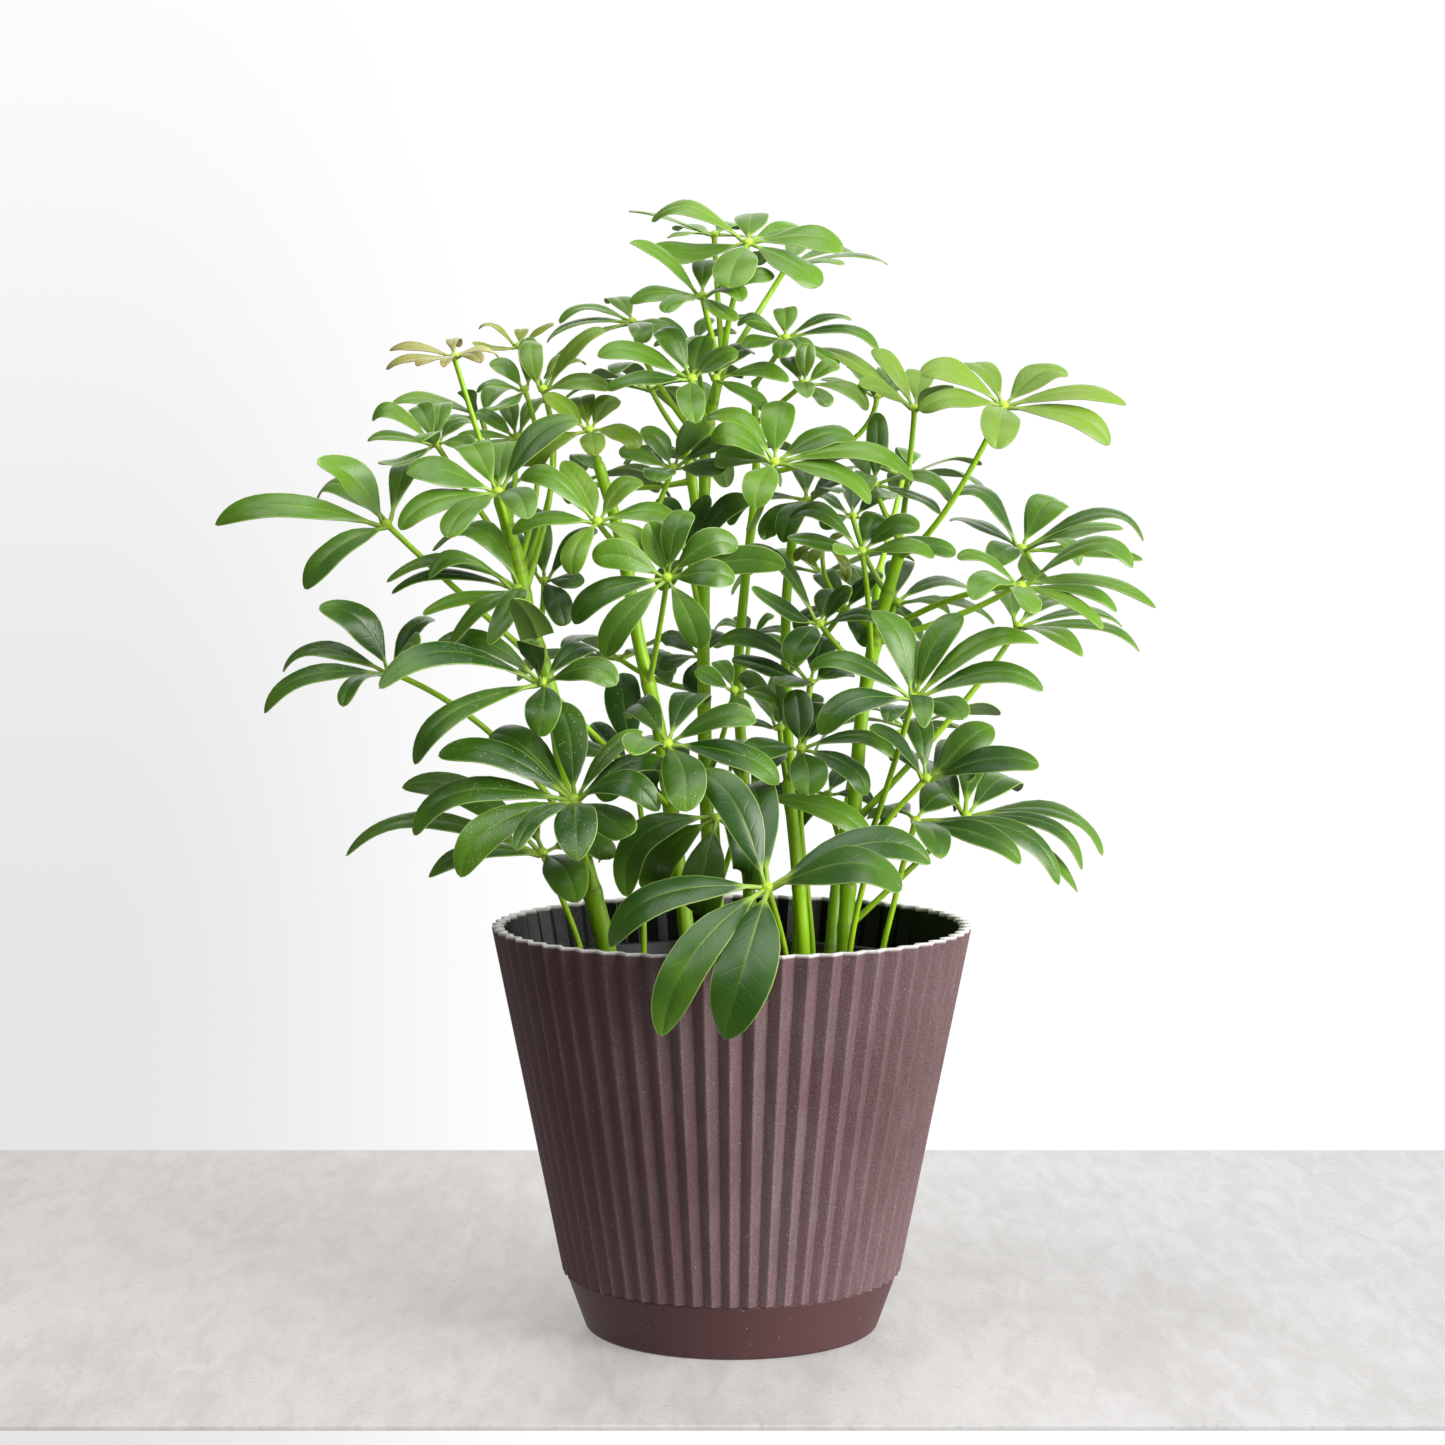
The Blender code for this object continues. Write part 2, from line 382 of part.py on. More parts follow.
def leaf_axis(hub, lean):
    """The direction a leaf faces: up, outwards from the plant's axis and leaning to the front."""
    return Vector((hub.x * 0.003, hub.y * 0.003 - lean, 1.0)).normalized()


def make_plan():
    """Every leaf with its real hub, joint, petiole curve and blades."""
    leaves = []
    for name, row in LEAVES.items():
        hub = real_place(*row["hub"])
        tips, widths = [], []
        for x, z, side, *own in row["tips"]:
            flat = real_place(x, z, row["hub"][2]) - hub
            spare = sqrt(max(row["reach"] ** 2 - flat.length_squared, 0.0))
            tips.append((x, z, row["hub"][2] - side * spare))
            widths.append(own[0] if own else row["width"] * row["reach"])
        leaves.append(dict(row, name=name, hub_read=row["hub"], tips_read=tips, widths=widths,
                           offsets=None))
    for name, (home, joint, hub, reach, count, turn) in REAR_LEAVES.items():
        row = compound(home, joint, hub, reach, [], lean=0.0, colour=GREEN_DARK)
        offsets = ring_tips(hub, reach, count, turn)
        widths = [row["width"] * reach] * count
        leaves.append(dict(row, name=name, hub_read=hub, tips_read=[None] * count, widths=widths,
                           offsets=offsets))
    for leaf in leaves:
        leaf["pushes"] = [0.0] * len(leaf["tips_read"])
        leaf["lifts"] = [0.0] * len(leaf["tips_read"])
        leaf["bow"] = 0.0
        leaf["hub_push"] = 0.0
        place_leaf(leaf)
    return leaves


def place_leaf(leaf):
    """Works out a leaf's real hub, petiole and blades, with the pushes that clear it of its neighbours."""
    x, z, y = leaf["hub_read"]
    hub = real_place(x, z, y + leaf["hub_push"])
    leaf["place"] = hub
    axis = leaf_axis(hub, leaf["lean"])
    leaf["axis"] = axis
    leaf["petiole"] = petiole_points(leaf, hub, axis)
    side = axis.orthogonal().normalized()
    other = axis.cross(side)
    ends = []
    for index, reading in enumerate(leaf["tips_read"]):
        push = leaf["pushes"][index] + leaf["hub_push"]
        if leaf["offsets"]:
            ends.append(hub + leaf["offsets"][index] + Vector((0, 0, leaf["pushes"][index])))
        else:
            ends.append(real_place(reading[0], reading[1], reading[2] + push))
    turns = []
    for end in ends:
        way = end - hub
        turns.append(atan2(way.dot(other), way.dot(side)))
    order = sorted(range(len(ends)), key=lambda index: turns[index])
    angles = spread_angles([turns[slot] for slot in order])
    leaf["order"] = order
    leaf["ring"], leaf["roots"] = hub_ring(hub, side, other, angles)
    leaf["blades"] = [None] * len(ends)
    for angle, slot, root in zip(angles, order, leaf["roots"]):
        outward = side * cos(angle) + other * sin(angle)
        item = blade(leaf, hub, outward, ends[slot], axis, slot)
        item["root"] = [leaf["ring"][corner] for corner in root]
        leaf["blades"][slot] = item


def spread_angles(angles):
    """Angles in rising order, moved apart where two leaflets would leave the hub side by side."""
    count = len(angles)
    least = LEAST_TURN * 2 * pi / count
    angles = list(angles)
    for _ in range(60):
        for index in range(count):
            after = (index + 1) % count
            turn = 2 * pi if after == 0 else 0.0
            lack = least - (angles[after] + turn - angles[index])
            if lack > 0:
                angles[index] -= lack / 2
                angles[after] += lack / 2
    return angles


def hub_ring(hub, side, other, angles):
    """The corners of a leaf's hub, and for each leaflet the corners before and after its root."""
    count = len(angles)
    step = 2 * pi / count
    ring = []
    befores = [0] * count
    afters = [0] * count

    def corner(angle):
        ring.append(hub + (side * cos(angle) + other * sin(angle)) * HUB_RADIUS)
        return len(ring) - 1

    for index, angle in enumerate(angles):
        following = (index + 1) % count
        gap = angles[following] + (2 * pi if following == 0 else 0.0) - angle
        if gap > WIDE_TURN * step:
            afters[index] = corner(angle + min(step * 0.4, 0.6))
            befores[following] = corner(angle + gap - min(step * 0.4, 0.6))
        else:
            afters[index] = befores[following] = corner(angle + gap / 2)
    return ring, list(zip(befores, afters))


def blade_sections(leaf):
    """The shares of length and of width at a leaf's blade sections, fewer on small and rear leaves."""
    return SMALL_BLADE_SECTIONS if leaf["offsets"] or leaf["reach"] < SMALL_REACH else BLADE_SECTIONS


def blade(leaf, hub, outward, end, axis, slot):
    """A leaflet: its midrib curve and its sections as (share of length, middle, half width vector)."""
    start = hub + outward * HUB_RADIUS * 0.8
    chord = end - start
    length = chord.length
    upward = (axis + Vector((0.0, 0.0, 1.0))).normalized()
    rise = upward - chord * (upward.dot(chord) / chord.length_squared)
    rise = rise.normalized() if rise.length > 1e-6 else outward
    pull = (outward * LEAD_SHARE + rise * (2 * leaf["arch"])) * length
    control = start + chord * 0.5 + pull + axis * (2 * leaf["lifts"][slot])
    half = leaf["widths"][slot] / 2
    sections = []
    for t, share in blade_sections(leaf):
        tangent = (control - start).lerp(end - control, t)
        way = chord.normalized().lerp(tangent.normalized(), t)
        across = way.cross(axis).normalized()
        sections.append((t, curve_point(start, control, end, t), across * (half * share)))
    return dict(start=start, control=control, end=end, sections=sections)


def petiole_points(leaf, hub, axis):
    """The petiole's points from its joint to the underside of the hub."""
    home = leaf["home"]
    if home in SOIL_STALKS:
        readings = SOIL_STALKS[home]
        bows = [leaf["bow"] * sin(pi * k / (len(readings) - 1)) for k in range(len(readings))]
        points = [real_place(x, z, y + bow) for (x, z, y), bow in zip(readings, bows)]
        points[0].z = STEM_FOOT_Z
        points[-1] = hub.copy()
        return points
    radii = CANES[home][:2]
    readings = CANES[home][2]
    joint = real_place(*between(readings, leaf["joint"]))
    length = (hub - joint).length
    if leaf["via"]:
        x, z, y = leaf["via"]
        middle = real_place(x, z, y + leaf["bow"])
    else:
        middle = joint.lerp(hub, 0.55) - axis * (0.06 * length)
        middle.y += leaf["bow"] * min(length / 25, 1.0)
    control = middle * 2 - (joint + hub) * 0.5
    shares = (0.0, 0.35, 0.7, 1.0) if length > 40 else (0.0, 0.55, 1.0) if length > 15 else (0.0, 1.0)
    points = [curve_point(joint, control, hub, t) for t in shares]
    if own_node(leaf):
        points[0] = own_foot(leaf["joint"], radii, readings, points)
    return points


def own_foot(height, radii, readings, points):
    """Where a petiole of its own node starts: a hair off its cane's side or top."""
    below = real_place(*between(readings, height - 10))
    cane_way = (real_place(*between(readings, height)) - below).normalized()
    way = (points[1] - points[0]).normalized()
    if height >= readings[-1][1]:
        return points[0] + way * 0.2 + cane_way * 0.7
    away = (way - cane_way * way.dot(cane_way)).normalized()
    tilt = sqrt(max(1.0 - way.dot(away) ** 2, 0.0))
    share = (height - readings[0][1]) / (readings[-1][1] - readings[0][1])
    return points[0] + away * (stem_radius(radii, share) + 0.4 + STALK_RADIUS * 1.15 * tilt)


def own_node(leaf):
    """True for a leaf whose colour makes it a node of its own."""
    return leaf["colour"] in (GREEN_LIGHT, GOLD_GREEN, BRONZE_GREEN)


def node_of(leaf):
    """The node that a leaf belongs to."""
    return "leaf_" + leaf["name"] if own_node(leaf) else leaf["home"]


# Test shapes used to find blades and petioles that would cross

def prism(rings):
    """Points and faces of a closed prism through rings of equal size."""
    points = [corner for ring in rings for corner in ring]
    size = len(rings[0])
    faces = [list(range(size))[::-1]]
    for level in range(len(rings) - 1):
        base = level * size
        for index in range(size):
            after = (index + 1) % size
            faces.append([base + index, base + after, base + size + after, base + size + index])
    faces.append([(len(rings) - 1) * size + index for index in range(size)])
    return points, faces


def blade_shape(item, thick, first):
    """A closed test prism round a blade, from a share of its first section outwards."""
    rows = [item["root"]] + [(middle + half, middle - half) for _, middle, half in item["sections"]]
    rows[0] = [start.lerp(end, first) for start, end in zip(rows[0], rows[1])]
    chord = item["end"] - item["start"]
    rings = []
    for before, after in rows:
        across = (before - after).normalized()
        normal = across.cross(chord).normalized() * thick
        edge = across * (thick - BLADE_THICKNESS / 2)
        inner, outer = after - edge, before + edge
        rings.append([inner + normal, outer + normal, outer - normal, inner - normal])
    return prism(rings)


def tube_shape(points, radii, sides=6):
    """A closed test tube along points."""
    rings = []
    for index, point in enumerate(points):
        before = points[max(index - 1, 0)]
        after = points[min(index + 1, len(points) - 1)]
        way = (after - before).normalized()
        side = way.orthogonal().normalized()
        other = way.cross(side)
        radius = radii[index]
        rings.append([point + (side * cos(2 * pi * k / sides) + other * sin(2 * pi * k / sides)) * radius
                      for k in range(sides)])
    return prism(rings)


def make_probe(kind, leaf, index, shape, node, outer=None):
    """A test shape with its box and search tree; the outer one is tested against its own leaf's blades."""
    points, faces = shape
    corners = np.array([tuple(point) for point in points])
    return dict(kind=kind, leaf=leaf, index=index, node=node, low=corners.min(axis=0),
                high=corners.max(axis=0), depth=corners[:, 1].mean(),
                tree=BVHTree.FromPolygons(points, faces),
                outer=BVHTree.FromPolygons(*outer) if outer else None)


def leaf_probes(leaf):
    """Test shapes of a leaf's blades and of its petiole."""
    probes = []
    thick = BLADE_THICKNESS / 2 + CLEARANCE
    for index, item in enumerate(leaf["blades"]):
        shape = blade_shape(item, thick, 0.02)
        outer = blade_shape(item, BLADE_THICKNESS / 2 + 0.05, 0.15)
        probes.append(make_probe("blade", leaf["name"], index, shape, node_of(leaf), outer))
    points = leaf["petiole"]
    trimmed = list(points)
    if leaf["home"] in CANES:
        trimmed[0] = points[0].lerp(points[1], 0.15 if own_node(leaf) else 0.35)
    trimmed[-1] = points[-1] + (points[-1] - points[-2]).normalized() * 0.5
    trimmed.append(trimmed[-1] + leaf["axis"] * 0.5)
    radii = [STALK_RADIUS + CLEARANCE] * (len(trimmed) - 2) + [HUB_RADIUS + CLEARANCE] * 2
    trimmed[-2] = leaf["place"] - leaf["axis"] * 0.5
    trimmed[-1] = leaf["place"] + leaf["axis"] * 0.8
    shape = tube_shape(trimmed, radii)
    probes.append(make_probe("petiole", leaf["name"], -1, shape, node_of(leaf)))
    return probes


def fixed_probes():
    """Test shapes of the canes and of the two pots' upper walls."""
    probes = []
    for name, (foot, top, readings) in CANES.items():
        points = cane_path(readings)
        count = len(points) - 1
        radii = [stem_radius((foot, top), k / count) + CLEARANCE for k in range(count + 1)]
        probes.append(make_probe("cane", name, -1, tube_shape(points, radii), name))
    outer = [(RIM_RADIUS + 1.5, POT_HEIGHT + 1.5), (RIM_RADIUS - 4.5, POT_HEIGHT + 1.5),
             (RIM_RADIUS - 12, 100.0), (RIM_RADIUS - 8, 100.0)]
    inner = [(NURSERY_RIM_RADIUS + 1, NURSERY_RIM_Z + 1), (NURSERY_RIM_RADIUS - 3.5, NURSERY_RIM_Z + 1),
             (NURSERY_RIM_RADIUS - 8, 105.0), (NURSERY_RIM_RADIUS - 4, 105.0)]
    for name, profile in (("cover_pot", outer), ("nursery_pot", inner)):
        sides = 48
        turns = [2 * pi * k / sides for k in range(sides)]
        rings = []
        for radius, height in profile + profile[:1]:
            rings.append([Vector((radius * cos(turn), radius * sin(turn), height)) for turn in turns])
        points = [corner for ring in rings for corner in ring]
        faces = []
        for level in range(len(rings) - 1):
            for index in range(sides):
                after = (index + 1) % sides
                base = level * sides
                faces.append([base + index, base + after, base + sides + after, base + sides + index])
        probes.append(make_probe("pot", name, -1, (points, faces), name))
    return probes


def crossings(probes):
    """Pairs of test shapes of different leaves that cross."""
    lows = np.array([probe["low"] for probe in probes])
    highs = np.array([probe["high"] for probe in probes])
    near = (lows[:, None, :] <= highs[None, :, :]).all(axis=2)
    near &= near.T
    found = []
    for first, second in zip(*np.nonzero(np.triu(near, 1))):
        a, b = probes[first], probes[second]
        kinds = {a["kind"], b["kind"]}
        if a["leaf"] == b["leaf"]:
            if kinds == {"blade"} and a["outer"].overlap(b["outer"]):
                found.append((int(first), int(second)))
            continue
        if kinds <= {"cane", "pot"}:
            continue
        if kinds <= {"petiole", "cane"} and a["node"] == b["node"]:
            continue
        if kinds == {"petiole", "pot"}:
            continue
        if a["tree"].overlap(b["tree"]):
            found.append((int(first), int(second)))
    return found


def clear_crossings(leaves):
    """Bends blades and petioles to the front or to the back until none of two leaves cross."""
    by_name = {leaf["name"]: leaf for leaf in leaves}
    fixed = fixed_probes()
    raised = {}
    moving = {leaf["name"]: leaf_probes(leaf) for leaf in leaves}
    ways = {}
    for turn in range(CLEARING_ROUNDS):
        probes = [probe for group in moving.values() for probe in group] + fixed
        pairs = crossings(probes)
        if not pairs:
            break
        shifts = {}
        touched = set()
        for first, second in pairs:
            a, b = probes[first], probes[second]
            key = (a["leaf"], a["index"], b["leaf"], b["index"])
            if a["leaf"] == b["leaf"]:
                leaf = by_name[a["leaf"]]
                if key not in raised:
                    tips = [leaf["blades"][probe["index"]]["end"] for probe in (a, b)]
                    raised[key] = 1.0 if (tips[0] - tips[1]).dot(leaf["axis"]) > 0 else -1.0
                for probe, way in ((a, raised[key]), (b, -raised[key])):
                    lift = leaf["lifts"][probe["index"]] + way * 0.7
                    leaf["lifts"][probe["index"]] = max(-MOST_LIFT, min(MOST_LIFT, lift))
                touched.add(a["leaf"])
                continue
            if key not in ways:
                ways[key] = -1.0 if a["depth"] < b["depth"] else 1.0
            for probe, way in ((a, ways[key]), (b, -ways[key])):
                if probe["kind"] in ("blade", "petiole"):
                    spot = (probe["leaf"], probe["index"])
                    shifts[spot] = shifts.get(spot, 0.0) + way
        for (name, index), way in shifts.items():
            leaf = by_name[name]
            step = CLEARING_STEP * max(-1.0, min(1.0, way))
            if index < 0:
                leaf["bow"] = max(-MOST_BOW, min(MOST_BOW, leaf["bow"] + step * 0.5))
            else:
                leaf["pushes"][index] = max(-MOST_PUSH, min(MOST_PUSH, leaf["pushes"][index] + step))
            if turn > 8:
                moved = leaf["hub_push"] + step * 0.3
                leaf["hub_push"] = max(-MOST_HUB_PUSH, min(MOST_HUB_PUSH, moved))
            touched.add(name)
        for name in touched:
            place_leaf(by_name[name])
            moving[name] = leaf_probes(by_name[name])
    return pairs


# Meshes

def finish_mesh(name, points, faces):
    """A mesh in metres from points in millimetres."""
    mesh = bpy.data.meshes.new(name)
    mesh.from_pydata([tuple(point * MM) for point in points], [], faces)
    mesh.update()
    return mesh


def new_object(name, mesh, collection):
    """An object that holds a mesh, linked to a collection."""
    thing = bpy.data.objects.new(name, mesh)
    collection.objects.link(thing)
    return thing


def leaf_object(leaf, collection):
    """A compound leaf: one flat star of blades round its hub, given its thickness by Solidify."""
    points = list(leaf["ring"])
    faces = [list(range(len(points)))]
    for slot, root in zip(leaf["order"], leaf["roots"]):
        rows = [root]
        for _, middle, half in leaf["blades"][slot]["sections"]:
            rows.append((len(points), len(points) + 1))
            points.append(middle + half)
            points.append(middle - half)
        for (before, after), (next_before, next_after) in zip(rows, rows[1:]):
            faces.append((before, next_before, next_after, after))
    mesh = finish_mesh(leaf["name"], points, faces)
    shape = bmesh.new()
    shape.from_mesh(mesh)
    bmesh.ops.recalc_face_normals(shape, faces=shape.faces)
    bmesh.ops.triangulate(shape, faces=shape.faces, quad_method="SHORT_EDGE")
    shape.to_mesh(mesh)
    shape.free()
    thing = new_object(leaf["name"], mesh, collection)
    solidify = thing.modifiers.new("Thickness", "SOLIDIFY")
    solidify.thickness = BLADE_THICKNESS * MM
    solidify.offset = 0.0
    return thing


def tube_object(name, points, radii, resolution, collection):
    """A solid tube along points: a bevelled curve made a mesh, its caps welded."""
    curve = bpy.data.curves.new(name, "CURVE")
    curve.dimensions = "3D"
    curve.bevel_depth = MM
    curve.bevel_resolution = resolution
    curve.use_fill_caps = True
    spline = curve.splines.new("POLY")
    spline.points.add(len(points) - 1)
    for spot, point, radius in zip(spline.points, points, radii):
        spot.co = (*(point * MM), 1.0)
        spot.radius = radius
    holder = bpy.data.objects.new(name + "_curve", curve)
    collection.objects.link(holder)
    graph = bpy.context.evaluated_depsgraph_get()
    mesh = bpy.data.meshes.new_from_object(holder.evaluated_get(graph))
    shape = bmesh.new()
    shape.from_mesh(mesh)
    bmesh.ops.remove_doubles(shape, verts=shape.verts, dist=1e-6)
    bmesh.ops.recalc_face_normals(shape, faces=shape.faces)
    shape.to_mesh(mesh)
    shape.free()
    thing = bpy.data.objects.new(name, mesh)
    thing.matrix_world = holder.matrix_world
    collection.objects.link(thing)
    bpy.data.objects.remove(holder)
    bpy.data.curves.remove(curve)
    return thing


def apply_modifiers(thing):
    """Puts the evaluated mesh in place of an object's mesh and modifiers."""
    graph = bpy.context.evaluated_depsgraph_get()
    mesh = bpy.data.meshes.new_from_object(thing.evaluated_get(graph))
    old = thing.data
    thing.modifiers.clear()
    thing.data = mesh
    bpy.data.meshes.remove(old)


def unite(base, pieces):
    """Joins a node's pieces to its base by one Boolean union, applied, and removes them."""
    modifier = base.modifiers.new("Union", "BOOLEAN")
    modifier.operation = "UNION"
    modifier.operand_type = "COLLECTION"
    modifier.collection = pieces
    modifier.solver = "MANIFOLD"
    apply_modifiers(base)
    for thing in list(pieces.objects):
        bpy.data.objects.remove(thing)
    bpy.data.collections.remove(pieces)


def material(finish):
    """A Principled material with a colour, a roughness and no metal."""
    name, colour, roughness = finish
    made = bpy.data.materials.get(name) or bpy.data.materials.new(name)
    made.use_nodes = True
    shader = made.node_tree.nodes["Principled BSDF"]
    shader.inputs["Base Color"].default_value = (*colour, 1.0)
    shader.inputs["Roughness"].default_value = roughness
    shader.inputs["Metallic"].default_value = 0.0
    return made


def dress(thing, finish, smooth_angle=None):
    """Gives an object its material and, where it is round, smooth shading."""
    thing.data.materials.clear()
    thing.data.materials.append(material(finish))
    if smooth_angle:
        thing.data.shade_smooth()
        thing.data.set_sharp_from_angle(angle=smooth_angle)


def petiole_radii(count):
    """Petiole radii from the joint to the hub."""
    foot = STALK_RADIUS * 1.15
    return [foot + (STALK_RADIUS * 0.95 - foot) * k / (count - 1) for k in range(count)]


def build_plant(leaves, plant):
    """One node for each cane with its leaves, each leaf from the soil and each young leaf."""
    nodes = {}
    for leaf in leaves:
        nodes.setdefault(node_of(leaf), []).append(leaf)
    for name, members in nodes.items():
        pieces = bpy.data.collections.new(name + "_pieces")
        bpy.context.scene.collection.children.link(pieces)
        if name in CANES:
            foot, top, readings = CANES[name]
            points = cane_path(readings)
            count = len(points) - 1
            radii = [stem_radius((foot, top), k / count) for k in range(count + 1)]
            base = tube_object(name, points, radii, 1, plant)
        else:
            points = members[0]["petiole"]
            base = tube_object(name, points, petiole_radii(len(points)), 1, plant)
        for leaf in members:
            leaf_object(leaf, pieces)
            if name in CANES:
                points = leaf["petiole"]
                tube_object(leaf["name"] + "_petiole", points, petiole_radii(len(points)), 0, pieces)
        unite(base, pieces)
        base.name = name
        dress(base, members[0]["colour"])


def build_cover_pot(collection):
    """The fluted cover pot: a loft through rings that are fluted above and round at the foot band."""
    count = FLUTES * 2
    slope = (RIM_RADIUS - SLEEVE_FOOT_RADIUS) / (POT_HEIGHT - SLEEVE_FOOT_Z)

    def fluted(height, inset):
        share = (height - SLEEVE_FOOT_Z) / (POT_HEIGHT - SLEEVE_FOOT_Z)
        tip = SLEEVE_FOOT_RADIUS + slope * (height - SLEEVE_FOOT_Z) - inset
        depth = FLUTE_DEPTH_FOOT + (FLUTE_DEPTH_RIM - FLUTE_DEPTH_FOOT) * share
        return [(tip - depth * (k % 2), height) for k in range(count)]

    def round_ring(radius, height):
        return [(radius, height)] * count

    rings = [
        round_ring(BASE_RADIUS, 0.0),
        round_ring(BAND_LOW_RADIUS, BAND_LOW_Z),
        round_ring(BAND_TOP_RADIUS, SLEEVE_FOOT_Z),
        fluted(SLEEVE_FOOT_Z, 0.0),
        fluted(POT_HEIGHT, 0.0),
        fluted(POT_HEIGHT, WALL),
        round_ring(FLOOR_RADIUS, FLOOR_Z),
    ]
    points = []
    for ring in rings:
        for k, (radius, height) in enumerate(ring):
            angle = 2 * pi * (k + FLUTE_PHASE) / count
            points.append(Vector((radius * cos(angle), radius * sin(angle), height)))
    faces = []
    for level in range(len(rings) - 1):
        base = level * count
        for k in range(count):
            after = (k + 1) % count
            faces.append((base + k, base + after, base + count + after, base + count + k))
    for level, height in ((0, 0.0), (len(rings) - 1, FLOOR_Z)):
        centre = len(points)
        points.append(Vector((0, 0, height)))
        for k in range(count):
            faces.append((centre, level * count + k, level * count + (k + 1) % count))
    mesh = finish_mesh("cover_pot", points, faces)
    shape = bmesh.new()
    shape.from_mesh(mesh)
    bmesh.ops.recalc_face_normals(shape, faces=shape.faces)
    shape.to_mesh(mesh)
    shape.free()
    pot = new_object("cover_pot", mesh, collection)
    dress(pot, ("pot_plum_brown", (0.115, 0.075, 0.075), 0.62))
    return pot


def turned(name, profile, steps, collection):
    """A turned solid: a closed profile of (radius, height) spun round the axis by a Screw modifier."""
    mesh = bpy.data.meshes.new(name)
    corners = [(radius * MM, 0.0, height * MM) for radius, height in profile]
    mesh.from_pydata(corners, [(k, k + 1) for k in range(len(corners) - 1)], [])
    thing = new_object(name, mesh, collection)
    screw = thing.modifiers.new("Turn", "SCREW")
    screw.steps = steps
    screw.render_steps = steps
    screw.use_merge_vertices = True
    screw.merge_threshold = 1e-5
    screw.use_smooth_shade = False
    return thing


def build_nursery_pot(collection):
    """The plain inner pot with its rolled lip, from the middle of its floor round its wall."""
    floor = FLOOR_Z + GAP
    lip_z = NURSERY_RIM_Z - NURSERY_LIP_HEIGHT
    wall_top = NURSERY_RIM_RADIUS - NURSERY_LIP
    profile = [
        (0.0, floor + NURSERY_WALL),
        (NURSERY_FOOT_RADIUS - NURSERY_WALL, floor + NURSERY_WALL),
        (NURSERY_RIM_RADIUS - NURSERY_LIP - NURSERY_WALL, NURSERY_RIM_Z),
        (NURSERY_RIM_RADIUS, NURSERY_RIM_Z),
        (NURSERY_RIM_RADIUS - 0.4, lip_z),
        (wall_top - 1.0, lip_z),
        (NURSERY_FOOT_RADIUS, floor),
        (0.0, floor),
    ]
    pot = turned("nursery_pot", profile, 32, collection)
    apply_modifiers(pot)
    dress(pot, ("nursery_black", (0.012, 0.011, 0.012), 0.5), 0.6)
    return pot


def build_soil(leaves, collection, cutters):
    """The soil: a turned block with a plain hole for each cane and petiole that stands in it."""
    floor = FLOOR_Z + GAP + NURSERY_WALL + GAP
    foot = NURSERY_FOOT_RADIUS - NURSERY_WALL
    top = NURSERY_RIM_RADIUS - NURSERY_LIP - NURSERY_WALL
    share = (SOIL_TOP_Z - floor) / (NURSERY_RIM_Z - floor)
    edge = foot + (top - foot) * share - 1.2
    profile = [(0.0, SOIL_TOP_Z), (edge * 0.55, SOIL_TOP_Z - 0.6), (edge, SOIL_TOP_Z - 3.0),
               (foot - 1.2, floor), (0.0, floor)]
    soil = turned("soil", profile, 32, collection)
    stands = [(cane_path(readings), foot_radius) for foot_radius, _, readings in CANES.values()]
    for leaf in leaves:
        if leaf["home"] in SOIL_STALKS:
            stands.append((leaf["petiole"], STALK_RADIUS * 1.15))
    for index, (points, radius) in enumerate(stands):
        below = points[0] - (points[1] - points[0]).normalized() * 3.0
        path = [below, points[1]]
        tube_object("hole_%02d" % index, path, [radius + 0.8] * 2, 1, cutters)
    holes = soil.modifiers.new("Holes", "BOOLEAN")
    holes.operation = "DIFFERENCE"
    holes.operand_type = "COLLECTION"
    holes.collection = cutters
    holes.solver = "EXACT"
    apply_modifiers(soil)
    for cutter in cutters.objects:
        cutter.hide_render = True
        cutter.display_type = "WIRE"
    dress(soil, ("soil_dark", (0.035, 0.024, 0.017), 0.9))
    return soil


def main():
    """Clears the scene, plans the leaves and builds the pots, the soil and the plant."""
    for thing in list(bpy.data.objects):
        bpy.data.objects.remove(thing)
    plant = bpy.data.collections.new("potted_umbrella_tree")
    cutters = bpy.data.collections.new("cutters")
    bpy.context.scene.collection.children.link(plant)
    bpy.context.scene.collection.children.link(cutters)
    leaves = make_plan()
    left_over = clear_crossings(leaves)
    print("crossings left:", len(left_over))
    build_cover_pot(plant)
    build_nursery_pot(plant)
    build_soil(leaves, plant, cutters)
    build_plant(leaves, plant)
    cutters.hide_render = True


if __name__ == "__main__":
    main()
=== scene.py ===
"""A dwarf umbrella tree in its fluted cover pot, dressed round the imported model.

Metres, +Z up. Leaf and cane places are read in millimetres on the upright plane through the pot's axis, as
the camera sees them, with a depth y for each; real_place moves them along the line of sight. The plan of the
leaves is worked out as for the solids, and each leaflet, petiole and cane then gets its fine shape.
"""

import logging
from dataclasses import dataclass, field
from enum import Enum
from functools import cache
from math import atan2, cos, pi, sin, sqrt

import bpy
import numpy as np
from mathutils import Matrix, Vector, noise
from mathutils.bvhtree import BVHTree


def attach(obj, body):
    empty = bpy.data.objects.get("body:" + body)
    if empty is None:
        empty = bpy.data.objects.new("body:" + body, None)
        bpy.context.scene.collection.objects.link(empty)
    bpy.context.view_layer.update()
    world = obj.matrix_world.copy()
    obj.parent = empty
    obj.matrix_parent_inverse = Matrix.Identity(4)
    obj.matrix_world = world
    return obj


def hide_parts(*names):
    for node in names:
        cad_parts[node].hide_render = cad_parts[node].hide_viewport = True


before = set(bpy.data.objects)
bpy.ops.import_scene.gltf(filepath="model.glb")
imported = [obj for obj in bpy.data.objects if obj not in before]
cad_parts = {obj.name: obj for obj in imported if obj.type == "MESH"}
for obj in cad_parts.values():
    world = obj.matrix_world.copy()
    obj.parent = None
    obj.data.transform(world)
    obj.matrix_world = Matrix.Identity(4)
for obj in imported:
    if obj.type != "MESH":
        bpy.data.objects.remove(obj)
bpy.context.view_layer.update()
LOG = logging.getLogger("umbrella_tree")

